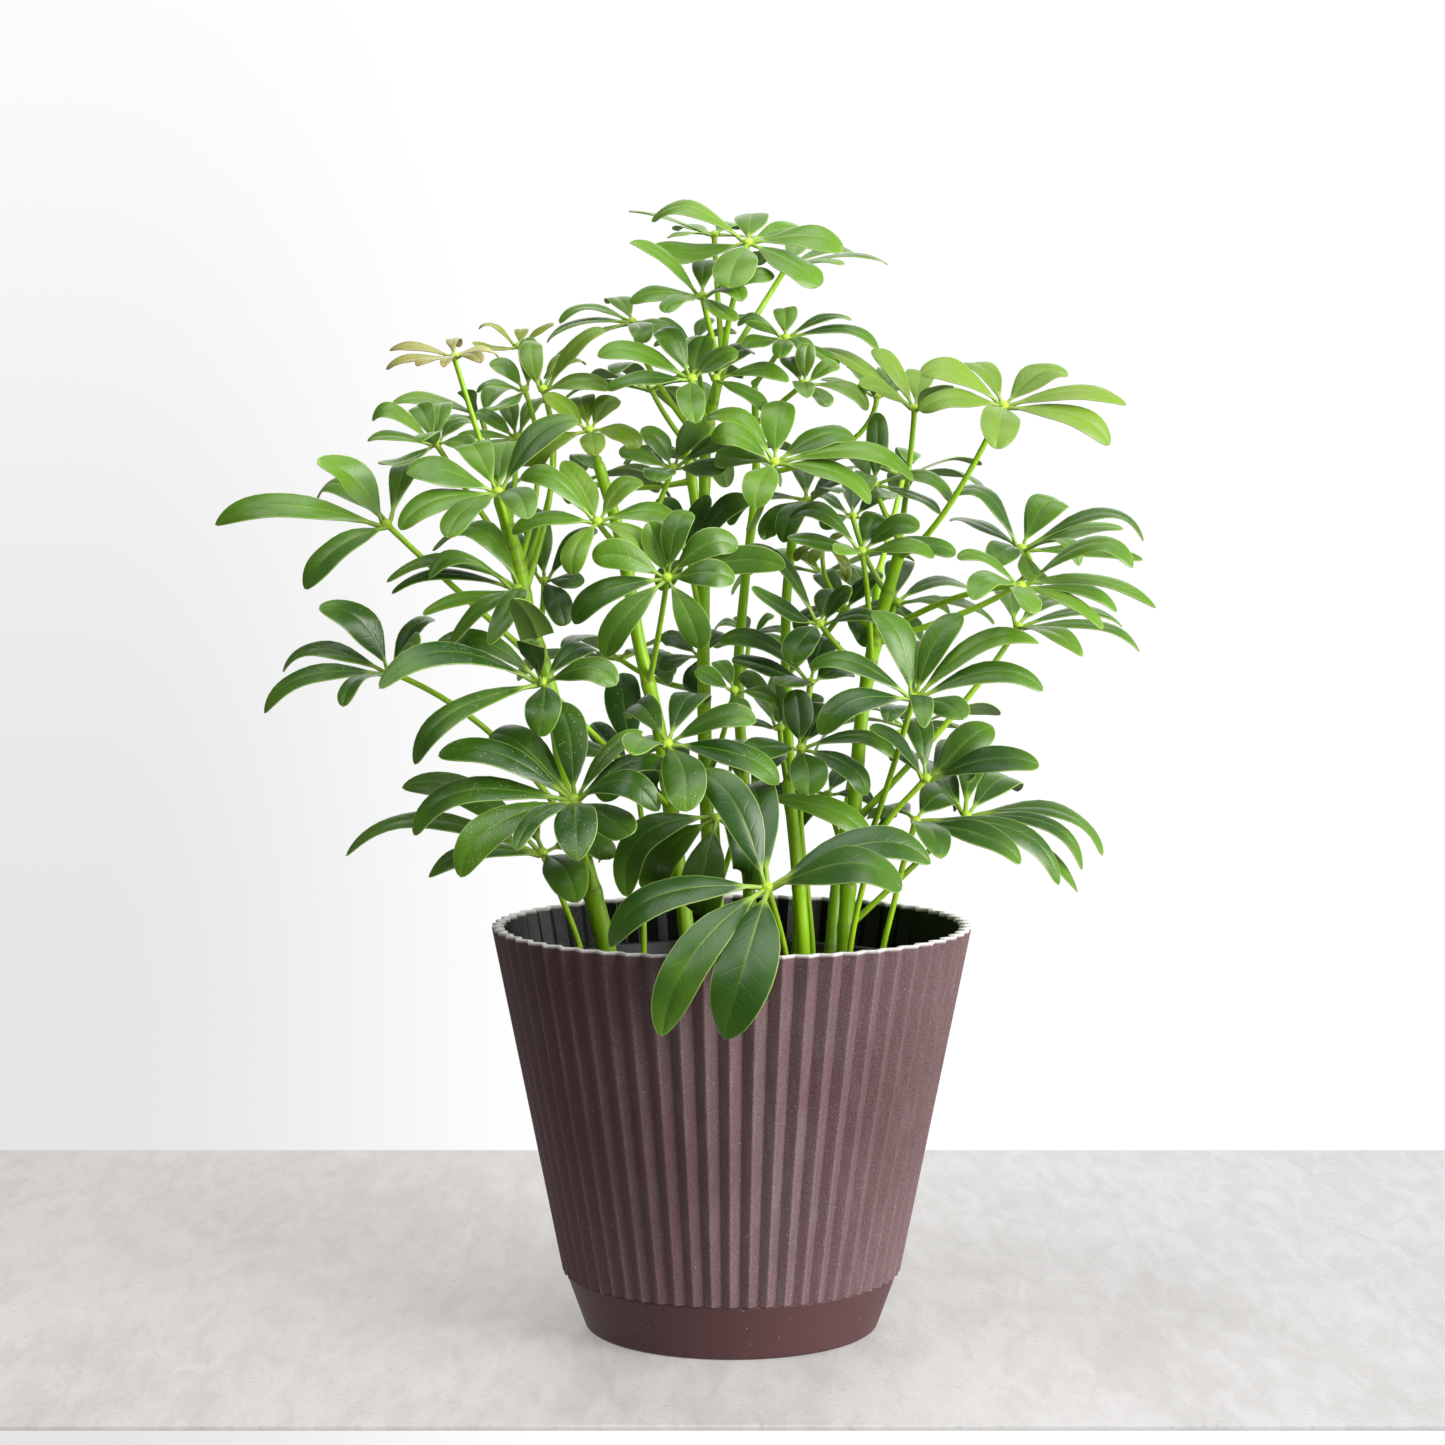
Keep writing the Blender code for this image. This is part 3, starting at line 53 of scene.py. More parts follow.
MM = 0.001
EYE = Vector((-3.4, -1218.8, 312.8))

# What the plan of the leaves has in common with the solids: lengths in millimetres, shares and rounds
POT_HEIGHT = 152.3
RIM_RADIUS = 90.0
NURSERY_RIM_RADIUS = 77.0
NURSERY_RIM_Z = 136.0
STEM_FOOT_Z = 101.0
BLADE_THICKNESS = 0.8
HUB_RADIUS = 2.2
STALK_RADIUS = 1.6
LEAST_TURN = 0.8
WIDE_TURN = 1.55
BESIDE_ROOT = 0.4
MOST_BESIDE_ROOT = 0.6
SPREAD_ROUNDS = 60
ROOT_SHARE = 0.8
OUTWARD_LEAN = 0.003
FOOT_GAP = 0.4
BLADE_SECTIONS = ((0.15, 0.32), (0.52, 1.0), (1.0, 0.32))
SMALL_BLADE_SECTIONS = ((0.52, 1.0), (1.0, 0.4))
SMALL_REACH = 37.5
LEAD_SHARE = 0.22
CLEARANCE = 0.45
CLEARING_ROUNDS = 70
CLEARING_STEP = 1.6
MOST_BOW = 12.0
MOST_PUSH = 26.0
MOST_HUB_PUSH = 8.0
MOST_LIFT = 6.0
LIFT_STEP = 0.7
BOW_SHARE = 0.5
HUB_SHARE = 0.3
ROUNDS_BEFORE_HUBS = 8
PROBE_SIDES = 6
RING_RISE = 5.0
RING_DROOP = -9.0

# What each point of a mesh carries for its material
LEAF_MARKS = ("along", "across", "edge_mm", "under", "stalk", "shade", "pick", "dusty", "young")
STALK_MARKS = ("rise", "wood", "scar", "hub")
# On the pot, rim marks where a painted highlight goes, and fluted where the film with its painted sheen goes
POT_MARKS = ("inner", "ridge", "rim", "fluted")
SOIL_MARKS = ("chip", "grain")

# How far red, green and blue light spreads inside a leaf or stalk, before it is scaled
GLOW_REACH = (0.5, 1.0, 0.15)

Triple = tuple[float, float, float]
Reading = Triple
Ring = list[Vector]
Faces = list[tuple[int, ...]]
Shape = tuple[list[Vector], Faces]
Marks = dict[str, np.ndarray]
Colour = Triple
Socket = bpy.types.NodeSocket
Source = float | tuple | Socket


class Tone(Enum):
    """The colour of a leaf, by the name of its material slot."""

    DARK = "leaf_dark"
    MID = "leaf_mid"
    LIGHT = "leaf_light"
    GOLD = "leaf_gold"
    BRONZE = "leaf_bronze"

    @property
    def young(self) -> bool:
        """True for the tones whose leaves are nodes of their own."""
        return self in (Tone.LIGHT, Tone.GOLD, Tone.BRONZE)


@dataclass(frozen=True)
class CaneRow:
    """A cane as read: its radii at foot and top, and points (x, z, depth y)."""

    foot: float
    top: float
    readings: list[Reading]


@dataclass(frozen=True)
class LeafRow:
    """A compound leaf as read: the cane or stalk it grows on, the height of its joint there, its hub
    (x, z, depth), its reach, and its leaflets' tips (x, z, side), where side 1 points to the front and
    a fourth number is the leaflet's own width."""

    name: str
    home: str
    joint: float | None
    hub: Reading
    reach: float
    tips: list[tuple[float, ...]]
    lean: float = 0.55
    via: Reading | None = None
    tone: Tone = Tone.MID
    width: float = 0.29
    arch: float = 0.17


# Canes: radii at foot and top, readings from the foot up
CANES = {
    "stem_left": CaneRow(4.1, 2.4, [
        (-43, 112, -8), (-47, 142, -12), (-56, 178, -17), (-62, 205, -18), (-66, 232, -18), (-75, 265, -18),
        (-83, 300, -18), (-87, 313, -18)]),
    "stem_bright": CaneRow(3.2, 2.2, [
        (-13, 112, 0), (-17, 150, 2), (-22, 190, 0), (-26.5, 222, -3), (-35, 260, -4), (-41, 295, -4),
        (-50, 326, -8)]),
    "stem_centre": CaneRow(3.1, 1.9, [
        (0, 112, 24), (-6, 150, 24), (-9, 190, 22), (-10.5, 250, 20), (-10, 300, 17), (-9.5, 332, 16),
        (-3, 364, 14)]),
    "stem_dark": CaneRow(2.9, 1.3, [
        (9, 112, 52), (5, 200, 52), (2.5, 250, 49), (5, 280, 46), (9, 320, 42), (8.5, 354, 38)]),
    "stem_short": CaneRow(3.0, 2.2, [(28, 112, -4), (27, 142, -5), (24.5, 175, -6), (21, 207, -7)]),
    "stem_slim": CaneRow(2.4, 1.8, [
        (24, 112, 45), (25, 160, 44), (20.5, 240, 38), (20.5, 275, 33), (23, 300, 30)]),
    "stem_right": CaneRow(3.2, 2.3, [
        (42, 112, 6), (42.5, 142, 6), (46, 195, 7), (50, 240, 9), (57, 272, 9), (64, 296, 7)]),
    "stem_rear_left": CaneRow(3.0, 1.9, [
        (-9, 112, 50), (-9, 190, 64), (-10.5, 250, 73), (-13, 305, 78), (-17, 332, 80)]),
    "stem_rear_right": CaneRow(3.0, 1.9, [
        (36, 112, 40), (39, 160, 50), (47, 215, 70), (53, 262, 78), (55, 285, 80)]),
}

# Petioles that rise from the soil, up to the leaf's hub
SOIL_STALKS = {
    "leaf_low_left": [(-53, 112, -14), (-57, 143, -20), (-63, 160, -26), (-71, 179, -32)],
    "leaf_front": [(22, 112, -42), (20, 142, -58), (16.5, 156, -68), (13.5, 166, -76)],
    "leaf_front_left": [(-3, 112, -22), (-4, 150, -28), (-4.5, 172, -33), (-6, 192, -38)],
    "leaf_inner_left": [(-33, 112, 2), (-33, 150, 2), (-33, 185, 0), (-37, 213, -2)],
    "leaf_mid_right": [(44, 112, -8), (44.5, 142, -12), (48, 161, -15), (58, 190, -22), (73, 207, -28)],
    "leaf_low_right": [(54, 112, -4), (57, 143, -6), (61, 160, -8), (64.5, 175, -10), (69, 191, -14)],
    "leaf_shade": [(30, 112, 10), (30.5, 142, 8), (28.5, 165, 6), (26, 190, 4), (27, 222, 2),
                   (29.5, 243, 0)],
}

LEAVES = (
    # Left cane
    LeafRow("left_top", "stem_left", 292, (-87, 314, -40), 44, [
        (-121, 321, 0.3), (-124, 300, 0.7), (-106, 297, 0.8), (-76, 304, 0.9, 12), (-98, 329, -0.7),
        (-57, 341, -0.2), (-83, 333, -0.9)], lean=0.75),
    LeafRow("left_upper", "stem_left", 286, (-110, 332, -8), 31, [
        (-134, 340.5, 0), (-135.5, 333, 0.3), (-131, 325, 0.7), (-115.5, 333, 1), (-118, 345, -0.6),
        (-107, 347, -0.9), (-96, 340, -0.3), (-96, 328, 0.4)], lean=0.6, via=(-97, 312, -16)),
    LeafRow("left_far", "stem_left", 249, (-128.5, 302, -26), 54, [
        (-193, 302, 0.1, 12), (-160, 278, 0.4, 14), (-154, 325, 0.3, 14), (-156, 308, -0.7, 12),
        (-120, 318, -0.9, 12)], lean=0.9, via=(-103, 278, -24), arch=0.23),
    LeafRow("left_low", "stem_left", 182, (-128, 247, -26), 50, [
        (-154, 271, 0.2, 13), (-175.5, 231.5, 0.3, 11), (-168, 247, -0.4, 9), (-145.5, 234, 0.7, 11),
        (-111, 267, -0.3, 9), (-117.5, 256, 0.6, 9)], lean=0.8, via=(-88, 222, -26), tone=Tone.DARK,
        arch=0.21),
    LeafRow("left_front", "stem_left", 164, (-59, 199, -58), 56, [
        (-110, 215.5, 0.1, 12), (-119.5, 185.5, 0.4, 13), (-102, 169.5, 0.55, 15), (-81, 180, 0.75, 10),
        (-57.5, 176, 0.85, 15), (-38, 186, 0.45, 13), (-27, 194.5, 0.4, 11), (-23, 211, 0.2, 10),
        (-33, 225, -0.2, 8), (-65, 236, -0.3, 13), (-91, 223, -0.6)], lean=0.75, tone=Tone.DARK,
        width=0.27, arch=0.19),
    LeafRow("left_middle", "stem_left", 262, (-80, 278, -29), 46, [
        (-129, 281, -0.1, 8), (-127, 276.5, 0.25, 7), (-113, 282, 0.5, 9), (-115.5, 269, 0.4, 8),
        (-106, 256.5, 0.6, 10), (-91, 257, 0.8, 10), (-112, 292.5, -0.3, 14)], arch=0.21),
    LeafRow("left_inner", "stem_left", 256, (-70, 281, 2), 38, [
        (-50, 300, -0.2), (-76, 309, -0.6), (-87, 298, -0.8), (-62, 264, 0.5), (-56, 279, 0.2)], lean=0.5,
        tone=Tone.DARK),
    LeafRow("left_cluster", "stem_left", 300, (-80, 334.5, 4), 27, [
        (-95, 344, -0.4), (-104, 331.5, 0.2), (-94.5, 326, 0.6), (-71, 347, -0.6), (-84, 346, -0.8),
        (-66, 338, 0.2)], lean=0.6),
    LeafRow("left_bunch", "stem_left", 292, (-93, 342, 32), 33, [
        (-126, 347, -0.1), (-99, 352, 0.2), (-107, 341, 0.4), (-84, 352, -0.8)], lean=0.5, arch=0.14),
    LeafRow("left_crown", "stem_left", 285, (-77, 352, 10), 22, [
        (-90, 361.5, -0.2), (-95, 351, 0.2), (-91, 345, 0.6), (-76.5, 371, -0.4)], lean=0.6, width=0.38,
        via=(-72, 322, 8), arch=0.14),
    LeafRow("left_arch", "stem_left", 276, (-70, 352, -4), 32, [
        (-47, 374.5, 0), (-45, 352.5, 0.1), (-54, 361.5, -0.7), (-73, 370, -0.7)], lean=0.6,
        via=(-67, 318, -4), arch=0.2),
    LeafRow("left_red", "stem_left", 282, (-79, 368, 26), 19, [
        (-94, 374.5, 0), (-96, 369.5, 0.3), (-66, 376.5, -0.2), (-78, 373.5, -0.9)], lean=0.5,
        via=(-66, 330, 22), arch=0.14),
    # Bright cane
    LeafRow("bright_upper", "stem_bright", 293, (-50, 303, -32), 36, [
        (-79, 319, 0), (-63, 325.5, -0.3), (-33, 318, -0.2), (-82, 298.5, 0.2), (-59.5, 283, 0.7),
        (-18.5, 300.5, 0), (-29, 289.5, 0.4)], lean=0.75),
    LeafRow("bright_middle", "stem_bright", 242, (-24, 282, -44), 37, [
        (-52, 289, 0), (-59, 264.5, 0.1), (-46.5, 252, 0.2), (-12, 255, 0.2), (1.5, 281, 0.2),
        (2.5, 293, -0.1), (-15.5, 307, -0.2), (-31, 303, -0.3), (20, 286, -0.5)], lean=2.2, width=0.3,
        tone=Tone.DARK),
    LeafRow("bright_low", "stem_bright", 206, (-24, 220, -48), 42, [
        (-17, 194.5, 0.9, 15), (9, 228, 0.4, 11), (18, 204.5, 0.3, 12), (-36.5, 216, 1), (-38, 230, -0.9),
        (-10, 236, -0.9)], lean=0.9, tone=Tone.DARK, width=0.3),
    LeafRow("bright_right", "stem_bright", 284, (-22, 323, -4), 32, [
        (10, 331, 0, 11), (-2, 322.5, 0.4, 10), (-8, 339, -0.3, 11), (-34, 336.5, 0, 11),
        (-42, 328.5, 0.2, 9), (-39, 324, -0.5), (-28, 318, 0.8, 12)], lean=0.75),
    LeafRow("left_shoulder", "stem_bright", 196, (-71, 243, -46), 66, [
        (-132, 241, 0.9, 11), (-112, 255.5, -0.1, 9), (-119, 212, 0.5, 12), (-72, 222.5, 0.35, 13),
        (-43, 242, 0.2, 12), (-49, 253, -0.3, 10), (-81, 275, 0.6, 12)], lean=0.8, via=(-47, 219, -22),
        tone=Tone.DARK, width=0.24, arch=0.21),
    # Centre cane
    LeafRow("centre_left", "stem_centre", 338, (-15, 356, -14), 38, [
        (-50, 364.5, 0.1, 11), (-46.5, 352, 0.35, 10), (-27.5, 374, -0.3), (2.5, 366, -0.1),
        (-13.5, 339.5, 0.8), (-10, 372, -0.9)], lean=0.8, arch=0.15),
    LeafRow("centre_right", "stem_centre", 346, (-6, 356, 2), 32, [
        (21.5, 355, 0, 9), (14.5, 343, 0.35, 9), (-17, 371, -0.8), (8, 366, -0.8)], lean=0.7),
    LeafRow("crown_left", "stem_centre", 360, (-11, 386.5, -4), 33, [
        (-37.5, 406.5, -0.1, 9), (-38, 384, 0.3, 10), (-25, 380.5, 0.7), (4, 384.5, 0.6), (-8, 399, -0.8),
        (16, 393.5, -0.3), (1.5, 377.5, 0.6)], lean=0.65, arch=0.15),
    LeafRow("crown_back", "stem_centre", 338, (-14, 369, 26), 22, [
        (-28, 377.5, -0.2), (-7, 378.5, -0.6), (2, 373, -0.3), (-29, 368, 0.3), (-18, 363, 0.6)],
        arch=0.15),
    LeafRow("crown_out", "stem_centre", 330, (-37, 377, 22), 31, [
        (-64, 376.5, 0, 9), (-69, 369.5, 0.2, 9), (-70, 356, 0.4, 8), (-33, 369, 0.8), (-25, 372, 0.3),
        (-46, 384, -0.8)], via=(-29, 357, 22), arch=0.15),
    LeafRow("crown_top", "stem_centre", 364, (6, 406, 0), 39, [
        (-30, 414, -0.2, 11), (-29, 405, 0.3, 12), (8, 416, -0.8, 13), (41.5, 403.5, -0.1, 14),
        (33, 390, 0.4, 15), (-1, 389.5, 0.75, 16), (28, 409, -0.7, 10)], lean=0.7, via=(0, 382, 8),
        arch=0.09),
    LeafRow("crown_rear", "stem_centre", 362, (-6.5, 409, 34), 34, [
        (-38, 418, -0.2, 8), (2, 411, -0.5, 9), (-20, 411, -0.9, 9), (16, 408, -0.6, 9), (-24, 408, 0.3, 8)],
        lean=0.2, arch=0.08),
    LeafRow("crown_right", "stem_centre", 358, (21, 398, 32), 38, [
        (58, 398.5, -0.1, 8), (42, 398.5, 0.3, 8), (11, 403, 0.4, 8), (26, 405, -0.8, 9),
        (45, 403, -0.6, 8), (10, 398, -0.9, 9)], lean=0.4, via=(9, 379, 24), arch=0.11),
    LeafRow("centre_small", "stem_centre", 322, (27, 354, 0), 27, [
        (36, 345.5, 0.5), (50.5, 344, 0.2), (28.5, 369, -0.3), (28.5, 349, 0.9), (21, 364, -0.6),
        (40, 361, -0.7)], lean=0.6, via=(9, 339, 10)),
    LeafRow("centre_drop", "stem_centre", 236, (-12, 253, 34), 22, [
        (-15, 236.5, 0.5), (-26, 247, 0.4), (-27, 260, -0.4), (-4, 262, -0.7)], tone=Tone.DARK,
        width=0.45),
    LeafRow("centre_long", "stem_centre", 160, (5, 201, -18), 56, [
        (54.5, 177.5, 0.3, 11), (0, 209, -0.8), (13, 212, -0.9), (-14, 204, -0.3)], lean=0.8,
        tone=Tone.DARK, width=0.22, arch=0.21),
    LeafRow("centre_inner", "stem_centre", 206, (1, 240, -14), 27, [
        (-14, 247, 0, 9), (-6, 251, -0.5), (17, 233, 0.2, 9), (4, 226, 0.5, 9)], lean=0.6,
        tone=Tone.DARK),
    LeafRow("centre_shade", "stem_centre", 262, (-16, 290, 2), 33, [
        (8, 311, 0, 11), (-27, 312, -0.3, 10), (-9, 313, -0.9), (4, 286, 0.3, 10), (-26, 277, 0.4)],
        lean=0.6, tone=Tone.DARK),
    # Dark cane
    LeafRow("dark_top", "stem_dark", 354, (20, 371, 14), 28, [
        (19, 382, -0.6, 9), (1.5, 379.5, -0.3, 8), (2, 375.5, 0.3, 7), (44.5, 378, -0.2, 7),
        (55, 366.5, 0, 8), (18, 363.5, 0.8), (29, 361, 0.5), (40, 361, 0.3), (5, 368, 0.5)], lean=0.6,
        arch=0.15),
    LeafRow("dark_front", "stem_dark", 300, (16, 325, -24), 42, [
        (19, 348, -0.4), (9, 308, 0.7), (46, 334, -0.3), (68, 318, 0), (52, 309.5, 0.4), (-8, 334, 0.1),
        (-10, 341.5, -0.3), (-6, 328, -0.6)], lean=0.75),
    LeafRow("dark_small", "stem_dark", 238, (7, 261, 64), 19, [
        (-7.5, 260.5, -0.4), (-7, 256.5, 0.3), (16, 268, 0), (2, 268, -0.6), (21.5, 262, -0.4),
        (20.5, 255, 0.4)], width=0.36, tone=Tone.DARK),
    LeafRow("dark_right", "stem_dark", 320, (54, 349.5, 38), 28, [
        (33, 356, 0), (48, 352, 0.3), (57, 359, -0.7), (44, 361, -0.6), (66, 354, -0.3)], via=(42, 331, 38),
        lean=0.5),
    # Short and slim canes, and a low leaf of the right cane
    LeafRow("short_top", "stem_short", 206, (26, 218.5, -20), 32, [
        (24, 240.5, -0.1, 12), (29, 200.5, 0.7, 14), (51, 200.5, 0.4, 11), (62, 214.5, 0.1, 8),
        (36, 235, -0.6), (5, 214.5, 0.7, 12)], lean=0.8, tone=Tone.DARK, width=0.38),
    LeafRow("short_inner", "stem_short", 198, (18, 226, 16), 32, [
        (2, 245, 0, 10), (34, 238, -0.2, 9), (3, 229, 0.3, 9), (16, 246, -0.3, 9)], lean=0.6,
        tone=Tone.DARK),
    LeafRow("right_under", "stem_right", 172, (36, 201, 18), 28, [
        (8, 195, 0, 9), (43, 208, -0.7), (24, 188, 0.3), (54, 197, -0.2)], tone=Tone.DARK),
    LeafRow("slim_inner", "stem_slim", 246, (42, 270, 28), 33, [
        (56, 284, -0.3), (67, 267, 0.1, 10), (50, 256, 0.5), (24, 262, 0.3), (32, 284, -0.6)], lean=0.6,
        tone=Tone.DARK),
    LeafRow("slim_top", "stem_slim", 298, (28, 311, 24), 34, [
        (-1, 301.5, 0, 9), (13, 296, 0.3, 9), (40, 314, 0.7), (19, 295, 0.7), (46, 318, -0.6),
        (24, 321, -0.9)], lean=0.5, tone=Tone.DARK),
    # Right cane
    LeafRow("right_inner", "stem_right", 250, (48.5, 292, -14), 34, [
        (21, 304, -0.1), (21, 297, 0.3), (39.5, 291, 0.8), (55, 306, -0.5), (70, 300.5, 0.1),
        (76, 290, 0.3), (84, 291, -0.4)], lean=0.85, via=(51, 272, -4)),
    LeafRow("right_shade", "stem_right", 276, (45, 305, 56), 33, [
        (30, 314, 0, 10), (34, 300, 0.2), (60, 312, -0.2, 11), (64, 302, 0.2), (45, 316, -0.7)], lean=0.6,
        tone=Tone.DARK),
    LeafRow("right_sprig", "stem_right", 262, (34, 294, 26), 17, [
        (42, 280.5, 0.4), (24, 288, 0.3), (29, 287, 0.7), (44, 298, -0.5)], via=(38, 276, 22)),
    LeafRow("right_hollow", "stem_right", 246, (33, 265, -8), 42, [
        (-1, 289, 0, 11), (8, 278.5, 0.3, 10), (22.5, 250, 0.5, 13), (38, 278, -0.4, 11), (45, 277, 0.1, 9),
        (55, 266, 0.3, 9)], lean=0.65, tone=Tone.DARK, width=0.36),
    LeafRow("right_tip", "stem_right", 294, (53, 317, 14), 30, [
        (54, 343.5, -0.2), (59, 312, 0.8), (49, 312, 0.9), (82, 310, -0.2), (78, 306, 0.3), (43, 328, -0.8)],
        lean=0.6),
    LeafRow("right_front", "stem_right", 165, (68, 237, -40), 47, [
        (53, 270, -0.2, 13), (86, 268.5, -0.2, 11), (115, 258, -0.2, 10), (117, 240, 0.3, 10),
        (86.5, 229.5, 0.6, 12), (28.5, 249, 0, 10), (33, 223, 0.4, 12), (72, 226, 0.9, 8),
        (64, 256, -0.8, 11)], lean=0.9, via=(55, 194, -16), tone=Tone.DARK, arch=0.21),
    LeafRow("right_far", "stem_right", 258, (108, 293, -2), 46, [
        (82, 314, 0, 13), (81, 304, -0.4, 11), (98, 286.5, 0.6, 12), (124, 309.5, -0.3, 14),
        (146, 301, -0.4, 9), (154, 296, -0.1, 9), (153.5, 289.5, 0.3, 8), (130, 286.5, 0.7, 9),
        (116, 280, 0.6, 10)], via=(103, 277, 2), arch=0.19),
    LeafRow("right_out", "stem_right", 260, (108, 279, -16), 44, [
        (90, 274, 0.7, 11), (84, 289.5, 0, 7), (113, 268.5, 0.7, 11), (150, 286, 0, 11),
        (158.5, 271.5, -0.1, 9), (144, 269.5, 0.3, 7), (139, 263, 0.5, 8)], lean=0.65, via=(82, 274, -10),
        arch=0.19),
    LeafRow("right_edge", "stem_right", 256, (62, 273, 16), 38, [
        (90, 277.5, -0.5), (98.5, 265, 0), (82, 268.5, 0.2, 9), (72, 258, 0.1, 9), (66, 288, -0.8)],
        lean=0.45, tone=Tone.DARK),
    LeafRow("right_back", "stem_right", 190, (107, 264, 14), 46, [
        (153, 255, 0.1, 8), (131.5, 253, 0.5, 11), (103.5, 274, -0.8), (128, 269, -0.6, 10),
        (146, 264, -0.3, 8)], lean=0.5, via=(84, 232, 8), arch=0.19),
    LeafRow("right_low", "stem_right", 150, (88, 193, 6), 52, [
        (140, 178, 0, 11), (132.5, 172.5, 0.3, 8), (130.5, 164.5, 0.5, 9), (106, 203, -0.7),
        (91, 206, -0.9), (82, 205, -0.8)], lean=0.6, via=(61, 167, 6), tone=Tone.DARK, width=0.26,
        arch=0.21),
    # Leaves on their own petioles from the soil
    LeafRow("low_left", "leaf_low_left", None, (-71, 179, -32), 60, [
        (-145, 178, 0, 11), (-114, 170, 0.4, 11), (-124, 204, -0.4, 13), (-84, 183, -0.9), (-46, 176, -0.3),
        (-58, 160, 0.5)], lean=0.7, tone=Tone.DARK, width=0.25, arch=0.21),
    LeafRow("front", "leaf_front", None, (13.5, 166, -76), 70, [
        (-3, 108, 0.8, 22), (-26, 109, 1, 16), (-46, 143, 0, 15), (64.5, 165, 0.3, 21),
        (-12, 210, -0.3, 15), (6, 203, -0.8, 15), (75.5, 175, -0.3, 16)], lean=0.7, tone=Tone.DARK,
        arch=0.2),
    LeafRow("front_left", "leaf_front_left", None, (-6, 192, -38), 44, [
        (-11, 152, 0.35, 16), (-39, 162, 0.2, 13), (4, 166, -0.1, 14), (-25, 161, -0.4, 16),
        (13, 188, -0.6, 11)], lean=0.8, tone=Tone.DARK, arch=0.2),
    LeafRow("inner_left", "leaf_inner_left", None, (-37, 213, -2), 38, [
        (-41, 247, -0.1, 14), (-52, 228, -0.6, 10), (-64, 217, 0.2, 10), (-30, 197, -0.45), (-48, 198, 0.5),
        (-18, 214, -0.9)], lean=0.6, tone=Tone.DARK, width=0.38),
    LeafRow("mid_right", "leaf_mid_right", None, (73, 207, -28), 46, [
        (98, 226.5, -0.3, 14), (115.5, 212, 0.3, 13), (52, 226, 0.1, 9), (60, 214, -0.5, 10),
        (66, 229, -0.5, 11), (90, 205, -0.9)], lean=0.8, tone=Tone.DARK, width=0.36, arch=0.19),
    LeafRow("low_right", "leaf_low_right", None, (69, 191, -14), 50, [
        (79, 177, 0.9, 13), (109, 175, 0.4, 13), (123.5, 166.5, 0.1, 11), (84, 196, -0.9), (56, 186, -0.6)],
        lean=0.7, tone=Tone.DARK, arch=0.19),
    LeafRow("shade", "leaf_shade", None, (29.5, 243, 0), 36, [
        (0, 252, 0, 10), (18, 242, 0.8), (-5, 258, -0.5, 10), (37, 259, -0.7), (44, 247, -0.5)], lean=0.7,
        tone=Tone.DARK, width=0.36),
    # Young leaves of their own colour
    LeafRow("young_bronze", "stem_left", 313, (-103, 364, -20), 26, [
        (-127, 366.5, -0.3), (-128.5, 359.5, 0.3), (-117, 361, 0.7), (-107, 360.5, 1), (-93, 362, 0.7),
        (-86, 363.5, -0.4), (-101, 368, -1)], via=(-96, 341, -20), tone=Tone.BRONZE,
        arch=0.14, width=0.2),
    LeafRow("young_gold", "stem_bright", 326, (-53, 337, -14), 26, [
        (-70, 349.5, 0.1), (-56, 349, -0.8), (-42, 348.5, -0.3), (-34.5, 330, 0.2), (-51, 327.5, 0.9),
        (-73.5, 322, 0.4)], lean=0.7, tone=Tone.GOLD, width=0.38),
    LeafRow("light_right", "stem_right", 290, (101, 346, -18), 46, [
        (70, 358, 0.1, 12), (69.5, 344, 0.3, 11), (86, 361, -0.5, 12), (125, 358, -0.2, 13),
        (147, 346.5, -0.1, 10), (141, 331.5, 0.3, 12), (98.5, 330, 0.8, 14)], lean=0.75, via=(79, 306, -8),
        tone=Tone.LIGHT),
    LeafRow("light_crown", "stem_right", 287, (68, 345, 14), 37, [
        (32, 367.5, 0.1, 10), (52, 367, -0.3, 10), (47.5, 354, 0.5), (71, 358, -0.5), (80, 354, 0.7),
        (86, 352, -0.6)], lean=0.65, via=(65.5, 318, 18), tone=Tone.LIGHT, arch=0.14),
)

# Rings of even leaflets on the two rear canes: cane, joint, hub, reach, count, turn
REAR_LEAVES = {
    "rear_left_top": ("stem_rear_left", 332, (-30, 352, 96), 38, 6, 10),
    "rear_left_out": ("stem_rear_left", 318, (-56, 318, 98), 40, 6, 40),
    "rear_left_mid": ("stem_rear_left", 290, (-8, 324, 122), 38, 6, 20),
    "rear_left_low": ("stem_rear_left", 240, (-42, 252, 112), 42, 6, 0),
    "rear_right_top": ("stem_rear_right", 284, (64, 320, 100), 38, 6, 30),
    "rear_right_mid": ("stem_rear_right", 262, (34, 284, 122), 38, 6, 0),
    "rear_right_low": ("stem_rear_right", 225, (66, 226, 108), 40, 6, 15),
}


def real_place(x: float, z: float, y: float) -> Vector:
    """The real place at depth y that is seen at (x, z) on the upright plane through the pot's axis."""
    seen = Vector((x, 0.0, z))
    return EYE + (seen - EYE) * ((y - EYE.y) / -EYE.y)


def between(points: list[Reading], height: float) -> Reading:
    """The reading on a cane at a height.

    Args:
        points: The cane's readings, from the foot up.
        height: The height as read.

    Returns:
        The reading (x, z, y) there.
    """
    for low, high in zip(points, points[1:]):
        if high[1] >= height:
            share = (height - low[1]) / (high[1] - low[1])
            return tuple(a + (b - a) * share for a, b in zip(low, high))
    return points[-1]


def curve_point(start: Vector, control: Vector, end: Vector, t: float) -> Vector:
    """The point at share t of the curve from start to end that control pulls."""
    return start * (1 - t) ** 2 + control * (2 * t * (1 - t)) + end * t * t


def cane_path(readings: list[Reading]) -> Ring:
    """Puts a cane in its real place, with its foot moved down into the soil.

    Args:
        readings: The cane's readings, from the foot up.

    Returns:
        Its real points.
    """
    places = [real_place(*point) for point in readings]
    places[0].z = STEM_FOOT_Z
    return places


def stem_radius(row: CaneRow, share: float) -> float:
    """A cane's radius at a share of its length from foot to top."""
    return row.foot + (row.top - row.foot) * share


